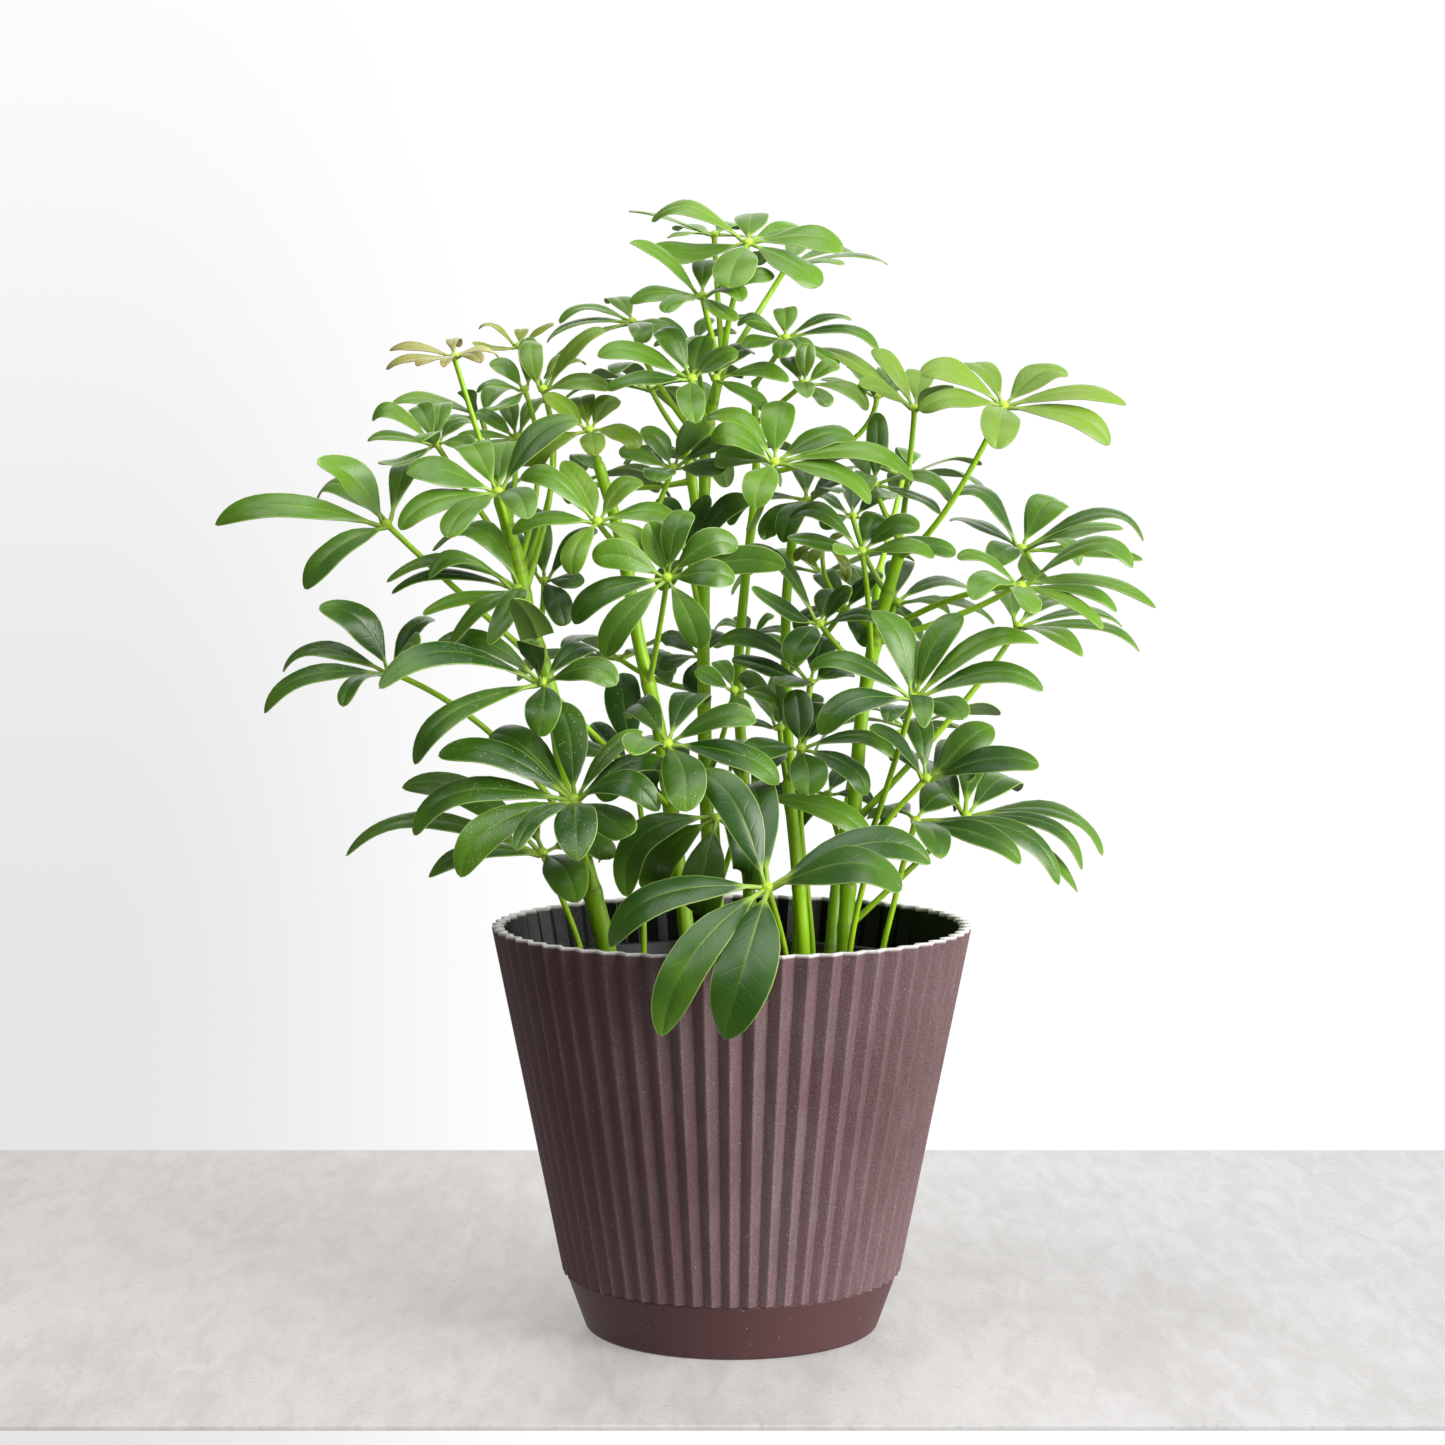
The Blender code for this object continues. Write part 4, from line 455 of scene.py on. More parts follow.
def hub_ring(hub: Vector, side: Vector, other: Vector,
             angles: list[float]) -> tuple[Ring, list[tuple[int, int]]]:
    """The corners of a leaf's hub.

    Args:
        hub: The hub's middle.
        side: First direction across the leaf's axis.
        other: Second direction across it.
        angles: The leaflets' directions, rising.

    Returns:
        The corners, and for each leaflet the corners before and after its root.
    """
    count = len(angles)
    step = 2 * pi / count
    beside = min(step * BESIDE_ROOT, MOST_BESIDE_ROOT)
    ring: Ring = []
    befores = [0] * count
    afters = [0] * count

    def corner(angle: float) -> int:
        """Adds a corner and returns its number."""
        ring.append(hub + (side * cos(angle) + other * sin(angle)) * HUB_RADIUS)
        return len(ring) - 1

    for index, angle in enumerate(angles):
        following = (index + 1) % count
        gap = angles[following] + (2 * pi if following == 0 else 0.0) - angle
        if gap > WIDE_TURN * step:
            afters[index] = corner(angle + beside)
            befores[following] = corner(angle + gap - beside)
        else:
            afters[index] = befores[following] = corner(angle + gap / 2)
    return ring, list(zip(befores, afters))


def spread_angles(angles: list[float]) -> list[float]:
    """Angles in rising order, moved apart where two leaflets would leave the hub side by side.

    Args:
        angles: The angles, rising.

    Returns:
        The spread angles.
    """
    count = len(angles)
    least = LEAST_TURN * 2 * pi / count
    angles = list(angles)
    for _ in range(SPREAD_ROUNDS):
        for index in range(count):
            after = (index + 1) % count
            turn = 2 * pi if after == 0 else 0.0
            lack = least - (angles[after] + turn - angles[index])
            if lack > 0:
                angles[index] -= lack / 2
                angles[after] += lack / 2
    return angles


@dataclass
class Blade:
    """A leaflet as planned: its midrib curve, sections (share, middle, half width) and root corners."""

    start: Vector
    control: Vector
    end: Vector
    axis: Vector
    half: float
    sections: list[tuple[float, Vector, Vector]]
    root: Ring = field(default_factory=list)


@dataclass
class LeafPlan:
    """A compound leaf in its real place, with the pushes that clear it of its neighbours."""

    row: LeafRow
    tips: list[Reading]
    widths: list[float]
    offsets: Ring | None = None
    bow: float = 0.0
    hub_push: float = 0.0
    bend: tuple[Vector, Vector] | None = None
    pushes: list[float] = field(init=False)
    lifts: list[float] = field(init=False)
    hub: Vector = field(init=False)
    axis: Vector = field(init=False)
    petiole: Ring = field(init=False)
    blades: list[Blade] = field(init=False)

    def __post_init__(self) -> None:
        """Starts with no pushes and puts the leaf in place."""
        self.pushes = [0.0] * len(self.tips)
        self.lifts = [0.0] * len(self.tips)
        self.settle()

    @property
    def node(self) -> str:
        """The name of the node that the leaf belongs to."""
        return "leaf_" + self.row.name if self.row.tone.young else self.row.home

    def settle(self) -> None:
        """Works out the real hub, petiole and blades."""
        x, z, y = self.row.hub
        self.hub = real_place(x, z, y + self.hub_push)
        lean = self.hub.y * OUTWARD_LEAN - self.row.lean
        self.axis = Vector((self.hub.x * OUTWARD_LEAN, lean, 1.0)).normalized()
        self.petiole = self.petiole_points()
        side = self.axis.orthogonal().normalized()
        other = self.axis.cross(side)
        ends = []
        for index, reading in enumerate(self.tips):
            push = self.pushes[index] + self.hub_push
            if self.offsets:
                ends.append(self.hub + self.offsets[index] + Vector((0, 0, self.pushes[index])))
            else:
                ends.append(real_place(reading[0], reading[1], reading[2] + push))
        turns = [atan2((end - self.hub).dot(other), (end - self.hub).dot(side)) for end in ends]
        order = sorted(range(len(ends)), key=lambda index: turns[index])
        angles = spread_angles([turns[slot] for slot in order])
        ring, roots = hub_ring(self.hub, side, other, angles)
        blades: dict[int, Blade] = {}
        for angle, slot, root in zip(angles, order, roots):
            outward = side * cos(angle) + other * sin(angle)
            blades[slot] = self.blade(outward, ends[slot], slot)
            blades[slot].root = [ring[corner] for corner in root]
        self.blades = [blades[slot] for slot in range(len(ends))]

    def blade(self, outward: Vector, end: Vector, slot: int) -> Blade:
        """Plans a leaflet.

        Args:
            outward: The direction in which it leaves the hub.
            end: Its tip.
            slot: Its number in the leaf.

        Returns:
            The leaflet's plan, without its root corners.
        """
        start = self.hub + outward * HUB_RADIUS * ROOT_SHARE
        chord = end - start
        length = chord.length
        upward = (self.axis + Vector((0.0, 0.0, 1.0))).normalized()
        rise = upward - chord * (upward.dot(chord) / chord.length_squared)
        rise = rise.normalized() if rise.length > 1e-6 else outward
        pull = (outward * LEAD_SHARE + rise * (2 * self.row.arch)) * length
        control = start + chord * 0.5 + pull + self.axis * (2 * self.lifts[slot])
        half = self.widths[slot] / 2
        small = self.offsets or self.row.reach < SMALL_REACH
        sections = []
        for t, share in SMALL_BLADE_SECTIONS if small else BLADE_SECTIONS:
            tangent = (control - start).lerp(end - control, t)
            way = chord.normalized().lerp(tangent.normalized(), t)
            across = way.cross(self.axis).normalized()
            sections.append((t, curve_point(start, control, end, t), across * (half * share)))
        return Blade(start, control, end, self.axis, half, sections)

    def petiole_points(self) -> Ring:
        """Works out the petiole and, where it grows on a cane, the joint and pull of its curve.

        Returns:
            The petiole's points from its joint to the hub.
        """
        home = self.row.home
        if home in SOIL_STALKS:
            readings = SOIL_STALKS[home]
            bows = [self.bow * sin(pi * k / (len(readings) - 1)) for k in range(len(readings))]
            points = [real_place(x, z, y + bow) for (x, z, y), bow in zip(readings, bows)]
            points[0].z = STEM_FOOT_Z
            points[-1] = self.hub.copy()
            return points
        cane = CANES[home]
        joint = real_place(*between(cane.readings, self.row.joint))
        length = (self.hub - joint).length
        if self.row.via:
            x, z, y = self.row.via
            middle = real_place(x, z, y + self.bow)
        else:
            middle = joint.lerp(self.hub, 0.55) - self.axis * (0.06 * length)
            middle.y += self.bow * min(length / 25, 1.0)
        control = middle * 2 - (joint + self.hub) * 0.5
        self.bend = (joint, control)
        shares = (0.0, 0.35, 0.7, 1.0) if length > 40 else (0.0, 0.55, 1.0) if length > 15 else (0.0, 1.0)
        points = [curve_point(joint, control, self.hub, t) for t in shares]
        if self.row.tone.young:
            points[0] = self.own_foot(cane, points)
        return points

    def own_foot(self, cane: CaneRow, points: Ring) -> Vector:
        """Where the petiole of a node of its own starts: a hair off its cane's side or top.

        Args:
            cane: The cane it stands on.
            points: The petiole's points so far.

        Returns:
            The new first point.
        """
        readings, height = cane.readings, self.row.joint
        below = real_place(*between(readings, height - 10))
        cane_way = (real_place(*between(readings, height)) - below).normalized()
        way = (points[1] - points[0]).normalized()
        if height >= readings[-1][1]:
            return points[0] + way * 0.2 + cane_way * 0.7
        away = (way - cane_way * way.dot(cane_way)).normalized()
        tilt = sqrt(max(1.0 - way.dot(away) ** 2, 0.0))
        share = (height - readings[0][1]) / (readings[-1][1] - readings[0][1])
        return points[0] + away * (stem_radius(cane, share) + FOOT_GAP + STALK_RADIUS * 1.15 * tilt)


def make_plan() -> list[LeafPlan]:
    """Puts every leaf in its place as read, before any two that cross are bent clear.

    Returns:
        The leaves.
    """
    leaves = []
    for row in LEAVES:
        hub = real_place(*row.hub)
        tips, widths = [], []
        for x, z, side, *own in row.tips:
            flat = real_place(x, z, row.hub[2]) - hub
            spare = sqrt(max(row.reach ** 2 - flat.length_squared, 0.0))
            tips.append((x, z, row.hub[2] - side * spare))
            widths.append(own[0] if own else row.width * row.reach)
        leaves.append(LeafPlan(row, tips, widths))
    for name, (home, joint, hub, reach, count, turn) in REAR_LEAVES.items():
        row = LeafRow(name, home, joint, hub, reach, [], lean=0.0, tone=Tone.DARK)
        offsets = []
        for index in range(count):
            angle = 2 * pi * index / count + turn * pi / 180
            droop = RING_DROOP if index % 2 else RING_RISE
            offsets.append(Vector((cos(angle) * reach, sin(angle) * reach, droop)))
        leaves.append(LeafPlan(row, [hub] * count, [row.width * reach] * count, offsets))
    return leaves


def bands(rows: int, size: int) -> Faces:
    """Faces between rows of closed rings, each of size points."""
    return [(base + k, base + (k + 1) % size, base + size + (k + 1) % size, base + size + k)
            for base in range(0, (rows - 1) * size, size) for k in range(size)]


def prism(rings: list[Ring]) -> Shape:
    """A closed prism through rings.

    Args:
        rings: Its rings, all of one size.

    Returns:
        Its points and faces.
    """
    points = [corner for ring in rings for corner in ring]
    size = len(rings[0])
    ends = [tuple(reversed(range(size))), tuple(range(len(points) - size, len(points)))]
    return points, ends[:1] + bands(len(rings), size) + ends[1:]


def blade_shape(item: Blade, thick: float, first: float) -> Shape:
    """A closed test prism round a blade.

    Args:
        item: The blade.
        thick: Half its test thickness.
        first: The share of the first section at which it starts.

    Returns:
        Its points and faces.
    """
    rows = [tuple(item.root)] + [(middle + half, middle - half) for _, middle, half in item.sections]
    rows[0] = tuple(start.lerp(end, first) for start, end in zip(rows[0], rows[1]))
    rings = []
    for before, after in rows:
        across = (before - after).normalized()
        normal = across.cross(item.end - item.start).normalized() * thick
        edge = across * (thick - BLADE_THICKNESS / 2)
        left, right = after - edge, before + edge
        rings.append([left + normal, right + normal, right - normal, left - normal])
    return prism(rings)


def tube_shape(points: Ring, radii: list[float]) -> Shape:
    """A closed test tube along points.

    Args:
        points: Its middle line.
        radii: Its radius at each point.

    Returns:
        Its points and faces.
    """
    rings = []
    turns = [2 * pi * k / PROBE_SIDES for k in range(PROBE_SIDES)]
    for index, point in enumerate(points):
        before = points[max(index - 1, 0)]
        after = points[min(index + 1, len(points) - 1)]
        way = (after - before).normalized()
        side = way.orthogonal().normalized()
        other = way.cross(side)
        rings.append([point + (side * cos(turn) + other * sin(turn)) * radii[index] for turn in turns])
    return prism(rings)


@dataclass
class Probe:
    """A test shape of a blade, petiole, cane or pot, with its box and search trees.

    The index is the blade's number, or -1. Two blades of one leaf are tested by their rootless shapes.
    """

    kind: str
    leaf: str
    index: int
    shape: Shape
    node: str
    rootless: Shape | None = None

    def __post_init__(self) -> None:
        """Works out the box and builds the search trees."""
        corners = np.array([tuple(point) for point in self.shape[0]])
        self.low, self.high = corners.min(axis=0), corners.max(axis=0)
        self.depth = corners[:, 1].mean()
        self.tree = BVHTree.FromPolygons(*self.shape)
        self.outer = BVHTree.FromPolygons(*self.rootless) if self.rootless else None


def leaf_probes(leaf: LeafPlan) -> list[Probe]:
    """Makes the test shapes of a leaf.

    Args:
        leaf: The leaf's plan.

    Returns:
        Its blades' shapes, then its petiole's with the hub.
    """
    name, probes = leaf.row.name, []
    thick = BLADE_THICKNESS / 2 + CLEARANCE
    for index, item in enumerate(leaf.blades):
        outer = blade_shape(item, BLADE_THICKNESS / 2 + 0.05, 0.15)
        probes.append(Probe("blade", name, index, blade_shape(item, thick, 0.02), leaf.node, outer))
    trimmed = list(leaf.petiole)
    if leaf.row.home in CANES:
        trimmed[0] = trimmed[0].lerp(trimmed[1], 0.15 if leaf.row.tone.young else 0.35)
    trimmed[-1] = leaf.hub - leaf.axis * 0.5
    trimmed.append(leaf.hub + leaf.axis * 0.8)
    radii = [STALK_RADIUS + CLEARANCE] * (len(trimmed) - 2) + [HUB_RADIUS + CLEARANCE] * 2
    probes.append(Probe("petiole", name, -1, tube_shape(trimmed, radii), leaf.node))
    return probes


def fixed_probes() -> list[Probe]:
    """Makes the test shapes of what leaves have to clear.

    Returns:
        The canes' shapes, then those of the two pots' upper walls.
    """
    probes = []
    for name, row in CANES.items():
        points = cane_path(row.readings)
        count = len(points) - 1
        radii = [stem_radius(row, k / count) + CLEARANCE for k in range(count + 1)]
        probes.append(Probe("cane", name, -1, tube_shape(points, radii), name))
    outer = [(RIM_RADIUS + 1.5, POT_HEIGHT + 1.5), (RIM_RADIUS - 4.5, POT_HEIGHT + 1.5),
             (RIM_RADIUS - 12, 100.0), (RIM_RADIUS - 8, 100.0)]
    inner = [(NURSERY_RIM_RADIUS + 1, NURSERY_RIM_Z + 1), (NURSERY_RIM_RADIUS - 3.5, NURSERY_RIM_Z + 1),
             (NURSERY_RIM_RADIUS - 8, 105.0), (NURSERY_RIM_RADIUS - 4, 105.0)]
    turns = [2 * pi * k / 48 for k in range(48)]
    for name, profile in (("cover_pot", outer), ("nursery_pot", inner)):
        rings = [[Vector((radius * cos(turn), radius * sin(turn), height)) for turn in turns]
                 for radius, height in profile + profile[:1]]
        points, faces = prism(rings)
        probes.append(Probe("pot", name, -1, (points, faces[1:-1]), name))
    return probes


def crossings(probes: list[Probe]) -> list[tuple[int, int]]:
    """Pairs of test shapes that cross.

    Args:
        probes: All test shapes.

    Returns:
        Their numbers, two by two.
    """
    lows = np.array([probe.low for probe in probes])
    highs = np.array([probe.high for probe in probes])
    near = (lows[:, None, :] <= highs[None, :, :]).all(axis=2)
    near &= near.T
    found = []
    for first, second in zip(*np.nonzero(np.triu(near, 1))):
        a, b = probes[first], probes[second]
        kinds = {a.kind, b.kind}
        if a.leaf == b.leaf:
            if kinds == {"blade"} and a.outer.overlap(b.outer):
                found.append((int(first), int(second)))
            continue
        same_node = kinds <= {"petiole", "cane"} and a.node == b.node
        if kinds <= {"cane", "pot"} or same_node or kinds == {"petiole", "pot"}:
            continue
        if a.tree.overlap(b.tree):
            found.append((int(first), int(second)))
    return found


def held(value: float, most: float) -> float:
    """The value, kept between -most and most."""
    return max(-most, min(most, value))


def clear_crossings(leaves: list[LeafPlan]) -> int:
    """Bends blades and petioles to the front or to the back until none of two leaves cross.

    Args:
        leaves: The plan, which is changed.

    Returns:
        The number of pairs that still cross.
    """
    by_name = {leaf.row.name: leaf for leaf in leaves}
    fixed = fixed_probes()
    moving = {leaf.row.name: leaf_probes(leaf) for leaf in leaves}
    raised: dict[tuple, float] = {}
    ways: dict[tuple, float] = {}
    pairs: list[tuple[int, int]] = []
    for turn in range(CLEARING_ROUNDS):
        probes = [probe for group in moving.values() for probe in group] + fixed
        pairs = crossings(probes)
        if not pairs:
            break
        shifts: dict[tuple[str, int], float] = {}
        touched = set()
        for first, second in pairs:
            a, b = probes[first], probes[second]
            key = (a.leaf, a.index, b.leaf, b.index)
            if a.leaf == b.leaf:
                leaf = by_name[a.leaf]
                if key not in raised:
                    way = leaf.blades[a.index].end - leaf.blades[b.index].end
                    raised[key] = 1.0 if way.dot(leaf.axis) > 0 else -1.0
                for probe, way in ((a, raised[key]), (b, -raised[key])):
                    lift = leaf.lifts[probe.index] + way * LIFT_STEP
                    leaf.lifts[probe.index] = held(lift, MOST_LIFT)
                touched.add(a.leaf)
                continue
            if key not in ways:
                ways[key] = -1.0 if a.depth < b.depth else 1.0
            for probe, way in ((a, ways[key]), (b, -ways[key])):
                if probe.kind in ("blade", "petiole"):
                    spot = (probe.leaf, probe.index)
                    shifts[spot] = shifts.get(spot, 0.0) + way
        for (name, index), way in shifts.items():
            leaf = by_name[name]
            step = CLEARING_STEP * held(way, 1.0)
            if index < 0:
                leaf.bow = held(leaf.bow + step * BOW_SHARE, MOST_BOW)
            else:
                leaf.pushes[index] = held(leaf.pushes[index] + step, MOST_PUSH)
            if turn > ROUNDS_BEFORE_HUBS:
                leaf.hub_push = held(leaf.hub_push + step * HUB_SHARE, MOST_HUB_PUSH)
            touched.add(name)
        for name in touched:
            by_name[name].settle()
            moving[name] = leaf_probes(by_name[name])
    return len(pairs)


class Nodes:
    """A node tree with short ways to add and join nodes."""

    def __init__(self, tree: bpy.types.NodeTree) -> None:
        """Keeps the tree."""
        self.tree = tree

    def new(self, kind: str, **settings: object) -> bpy.types.Node:
        """Adds a node and sets its properties.

        Args:
            kind: Its type, without the first word that all share.
            settings: Its properties.

        Returns:
            The node.
        """
        node = self.tree.nodes.new("ShaderNode" + kind)
        for name, value in settings.items():
            setattr(node, name, value)
        return node

    def feed(self, node: bpy.types.Node, sources: dict[str | int, Source]) -> bpy.types.Node:
        """Links or sets several inputs of a node.

        Args:
            node: The node.
            sources: A socket or a value for each input, by its name or number.

        Returns:
            The node.
        """
        for name, source in sources.items():
            socket = node.inputs[name]
            if isinstance(source, Socket):
                self.tree.links.new(source, socket)
            else:
                socket.default_value = (*source, 1.0) if socket.type == "RGBA" else source
        return node

    def math(self, operation: str, first: Source, second: Source = 0.0, clamp: bool = False) -> Socket:
        """The result of a sum on two values, kept from 0 to 1 if clamp is set."""
        node = self.new("Math", operation=operation, use_clamp=clamp)
        return self.feed(node, {0: first, 1: second}).outputs[0]

    def plus(self, first: Source, second: Source) -> Socket:
        """Two values added."""
        return self.math("ADD", first, second)

    def minus(self, first: Source, second: Source) -> Socket:
        """The second value taken from the first."""
        return self.math("SUBTRACT", first, second)

    def times(self, first: Source, second: Source) -> Socket:
        """Two values multiplied."""
        return self.math("MULTIPLY", first, second)

    def mix(self, share: Source, first: Source, second: Source, blend: str = "MIX") -> Socket:
        """The first colour with a share of the second laid over it."""
        node = self.new("Mix", data_type="RGBA", blend_type=blend)
        return self.feed(node, {0: share, 6: first, 7: second}).outputs[2]

    def layers(self, colour: Source, *over: tuple[Source, Source]) -> Socket:
        """Lays colours over another, one after the other.

        Args:
            colour: The lowest.
            over: A share and a colour for each of the others.

        Returns:
            The colour on top.
        """
        for share, above in over:
            colour = self.mix(share, colour, above)
        return colour

    def spread(self, value: Source, low: float, high: float, to_low: float = 0.0,
               to_high: float = 1.0) -> Socket:
        """A value moved smoothly from the range low to high to another, and kept inside it."""
        node = self.new("MapRange", interpolation_type="SMOOTHSTEP")
        return self.feed(node, dict(enumerate((value, low, high, to_low, to_high)))).outputs[0]

    def mark(self, name: str) -> Socket:
        """The value of one of the mesh's own marks."""
        return self.new("Attribute", attribute_name=name).outputs["Fac"]

    def place(self) -> Socket:
        """The place on the object, in metres."""
        return self.new("TexCoord").outputs["Object"]

    def axes(self, place: Socket) -> list[Socket]:
        """The x, y and z of a place."""
        return list(self.feed(self.new("SeparateXYZ"), {0: place}).outputs)

    def noise(self, scale: Source, detail: float = 2.0, stretch: Triple | None = None,
              distortion: float = 0.0) -> Socket:
        """A cloudy value round one half.

        Args:
            scale: How fine it is.
            detail: How many finer layers it has.
            stretch: The scale along each axis, if they differ.
            distortion: How far it is twisted.

        Returns:
            The value.
        """
        place = self.place()
        if stretch:
            place = self.feed(self.new("Mapping"), {"Vector": place, "Scale": stretch}).outputs[0]
        values = {"Vector": place, "Scale": scale, "Detail": detail, "Distortion": distortion}
        return self.feed(self.new("TexNoise"), values).outputs["Fac"]

    def bump(self, height: Source, distance: float) -> Socket:
        """A normal bent by a height, with the distance in metres."""
        return self.feed(self.new("Bump"), {"Height": height, "Distance": distance}).outputs[0]

    def group(self, tree: bpy.types.NodeTree, **values: Source) -> list[Socket]:
        """Places a node group with its own values.

        Args:
            tree: The group.
            values: A socket or a value for each of its inputs, by name.

        Returns:
            Its outputs.
        """
        node = self.new("Group")
        node.node_tree = tree
        return list(self.feed(node, {name.capitalize(): value for name, value in values.items()}).outputs)


def new_group(name: str, inputs: dict[str, float],
              outputs: list[str]) -> tuple[Nodes, list[Socket], bpy.types.Node]:
    """An empty shader node group.

    Args:
        name: Its name.
        inputs: Its value inputs and their defaults.
        outputs: The names of its value outputs.

    Returns:
        Its nodes, its inputs in their order and its output node.
    """
    tree = bpy.data.node_groups.new(name, "ShaderNodeTree")
    for label, value in inputs.items():
        socket = tree.interface.new_socket(label, in_out="INPUT", socket_type="NodeSocketFloat")
        socket.default_value = value
    for label in outputs:
        tree.interface.new_socket(label, in_out="OUTPUT", socket_type="NodeSocketFloat")
    given = tree.nodes.new("NodeGroupInput")
    return Nodes(tree), given.outputs[:len(inputs)], tree.nodes.new("NodeGroupOutput")


@cache
def dust_group() -> bpy.types.NodeTree:
    """Builds pale specks of dust of uneven size, thick in some places and absent in others.

    Returns:
        The group, whose output is the specks' mask.
    """
    nodes, given, out = new_group("dust_specks", {"Scale": 700.0, "Size": 0.16, "Amount": 0.5}, ["Mask"])
    scale, size, amount = given
    cells = nodes.new("TexVoronoi", feature="F1")
    nodes.feed(cells, {"Vector": nodes.place(), "Scale": scale})
    pick = nodes.feed(nodes.new("SeparateColor"), {0: cells.outputs["Color"]}).outputs
    speck = nodes.math("LESS_THAN", cells.outputs["Distance"], nodes.times(size, nodes.plus(pick[1], 0.3)))
    cloud = nodes.spread(nodes.noise(38.0, 3.0), 0.42, 0.62)
    kept = nodes.math("LESS_THAN", pick[0], nodes.times(cloud, amount))
    nodes.feed(out, {"Mask": nodes.times(speck, kept)})
    return nodes.tree


@cache
def grain_group() -> bpy.types.NodeTree:
    """Builds the fine grain of a moulded surface.

    Returns:
        The group, whose outputs are a height and a slow tone over it.
    """
    nodes, given, out = new_group("fine_grain", {"Scale": 900.0, "Drift": 14.0}, ["Height", "Tone"])
    nodes.feed(out, {"Height": nodes.noise(given[0], 3.0), "Tone": nodes.noise(given[1], 4.0)})
    return nodes.tree


@cache
def vein_group() -> bpy.types.NodeTree:
    """Builds side veins that leave a midrib at a slant and fade towards the margin.

    Returns:
        The group, whose output is a mask of thin lines.
    """
    inputs = {"Along": 0.0, "Across": 0.0, "Count": 9.0, "Slant": 1.3}
    nodes, given, out = new_group("side_veins", inputs, ["Mask"])
    along, across, count, slant = given
    wobble = nodes.times(nodes.minus(nodes.noise(90.0), 0.5), 0.5)
    turns = nodes.minus(nodes.times(along, count), nodes.times(across, slant))
    saw = nodes.math("FRACT", nodes.plus(turns, wobble))
    line = nodes.spread(nodes.math("ABSOLUTE", nodes.minus(saw, 0.5)), 0.0, 0.13, 1.0, 0.0)
    nodes.feed(out, {"Mask": nodes.times(line, nodes.spread(across, 0.45, 0.95, 1.0, 0.0))})
    return nodes.tree


def new_material(name: str) -> tuple[bpy.types.Material, Nodes, bpy.types.Node]:
    """A material with a Principled shader.

    Args:
        name: Its name.

    Returns:
        The material, its nodes and the shader.
    """
    made = bpy.data.materials.new(name)
    made.use_nodes = True
    return made, Nodes(made.node_tree), made.node_tree.nodes["Principled BSDF"]


@dataclass(frozen=True)
class LeafFinish:
    """A waxy leaf: green by its shade, with a pale midrib, side veins, a light margin and a dull underside.

    The flush is the colour of its outer half, and the glow is the light that it lets through.
    """

    name: str
    deep: Colour
    full: Colour
    fresh: Colour
    rib: Colour
    margin: Colour
    under: Colour
    flush: Colour
    flush_share: float = 0.0
    roughness: float = 0.36
    coat: float = 0.1
    glow: float = 0.05
    dust: float = 0.62
    young_green: Colour = (0.3, 0.38, 0.02)
    young_red: Colour = (0.36, 0.25, 0.03)
    speck: Colour = (0.62, 0.68, 0.6)
    vein_depth: float = 0.07
    fine_relief: float = 0.06
    wide_relief: float = 1.4
    relief_size: float = 0.0006

    def material(self) -> bpy.types.Material:
        """Builds the material.

        Returns:
            The material.
        """
        made, nodes, shader = new_material(self.name)
        along, across, edge, under, stalk, shade, pick, dusty, young = map(nodes.mark, LEAF_MARKS)
        cloud = nodes.noise(32.0, 3.0)
        drift = nodes.times(nodes.minus(cloud, 0.5), 0.7)
        tone = nodes.plus(nodes.plus(shade, drift), nodes.times(pick, 0.16))
        outer = nodes.spread(nodes.plus(along, drift), 0.55, 1.05)
        redness = nodes.spread(nodes.plus(cloud, nodes.times(pick, 0.2)), 0.3, 0.75)
        veins = nodes.group(vein_group(), along=along, across=across)[0]
        rib = nodes.spread(across, 0.015, 0.075, 1.0, 0.0)
        rib = nodes.times(rib, nodes.spread(along, 0.05, 0.85, 0.42, 0.02))
        tip = nodes.times(nodes.spread(along, 0.93, 1.0), nodes.spread(pick, 0.4, 0.9, 0.0, 0.55))
        green = nodes.layers(
            self.deep,
            (nodes.spread(tone, 0.0, 0.55), self.full),
            (nodes.spread(tone, 0.5, 1.1), self.fresh),
            (nodes.times(outer, self.flush_share), self.flush),
            (young, nodes.mix(redness, self.young_green, self.young_red)),
            (nodes.times(veins, 0.03), self.fresh),
            (rib, self.rib),
            (nodes.spread(edge, 0.06, 0.42, 0.7, 0.0), self.margin),
            (tip, self.rib))
        back = nodes.mix(nodes.times(rib, 0.8), self.under, self.rib)
        specks = nodes.group(dust_group(), scale=1150.0, size=0.2, amount=self.dust)[0]
        specks = nodes.times(specks, nodes.spread(dusty, 0.2, 1.0))
        specks = nodes.times(specks, nodes.math("SUBTRACT", 1.0, under, clamp=True))
        colour = nodes.layers(
            green,
            (under, nodes.mix(0.3, back, green)),
            (nodes.spread(stalk, 0.3, 0.9), self.rib),
            (nodes.times(specks, 0.6), self.speck))
        rough = nodes.plus(nodes.times(cloud, 0.18), self.roughness - 0.09)
        relief = nodes.plus(nodes.times(veins, -self.vein_depth),
                            nodes.times(nodes.noise(240.0, 3.0), self.fine_relief))
        relief = nodes.plus(relief, nodes.times(cloud, self.wide_relief))
        nodes.feed(shader, {
            "Base Color": colour,
            "Roughness": nodes.plus(rough, nodes.times(under, 0.18)),
            "Subsurface Weight": self.glow,
            "Subsurface Radius": GLOW_REACH,
            "Subsurface Scale": 0.0012,
            "Coat Weight": self.coat,
            "Coat Roughness": 0.28,
            "Normal": nodes.bump(relief, self.relief_size),
        })
        return made


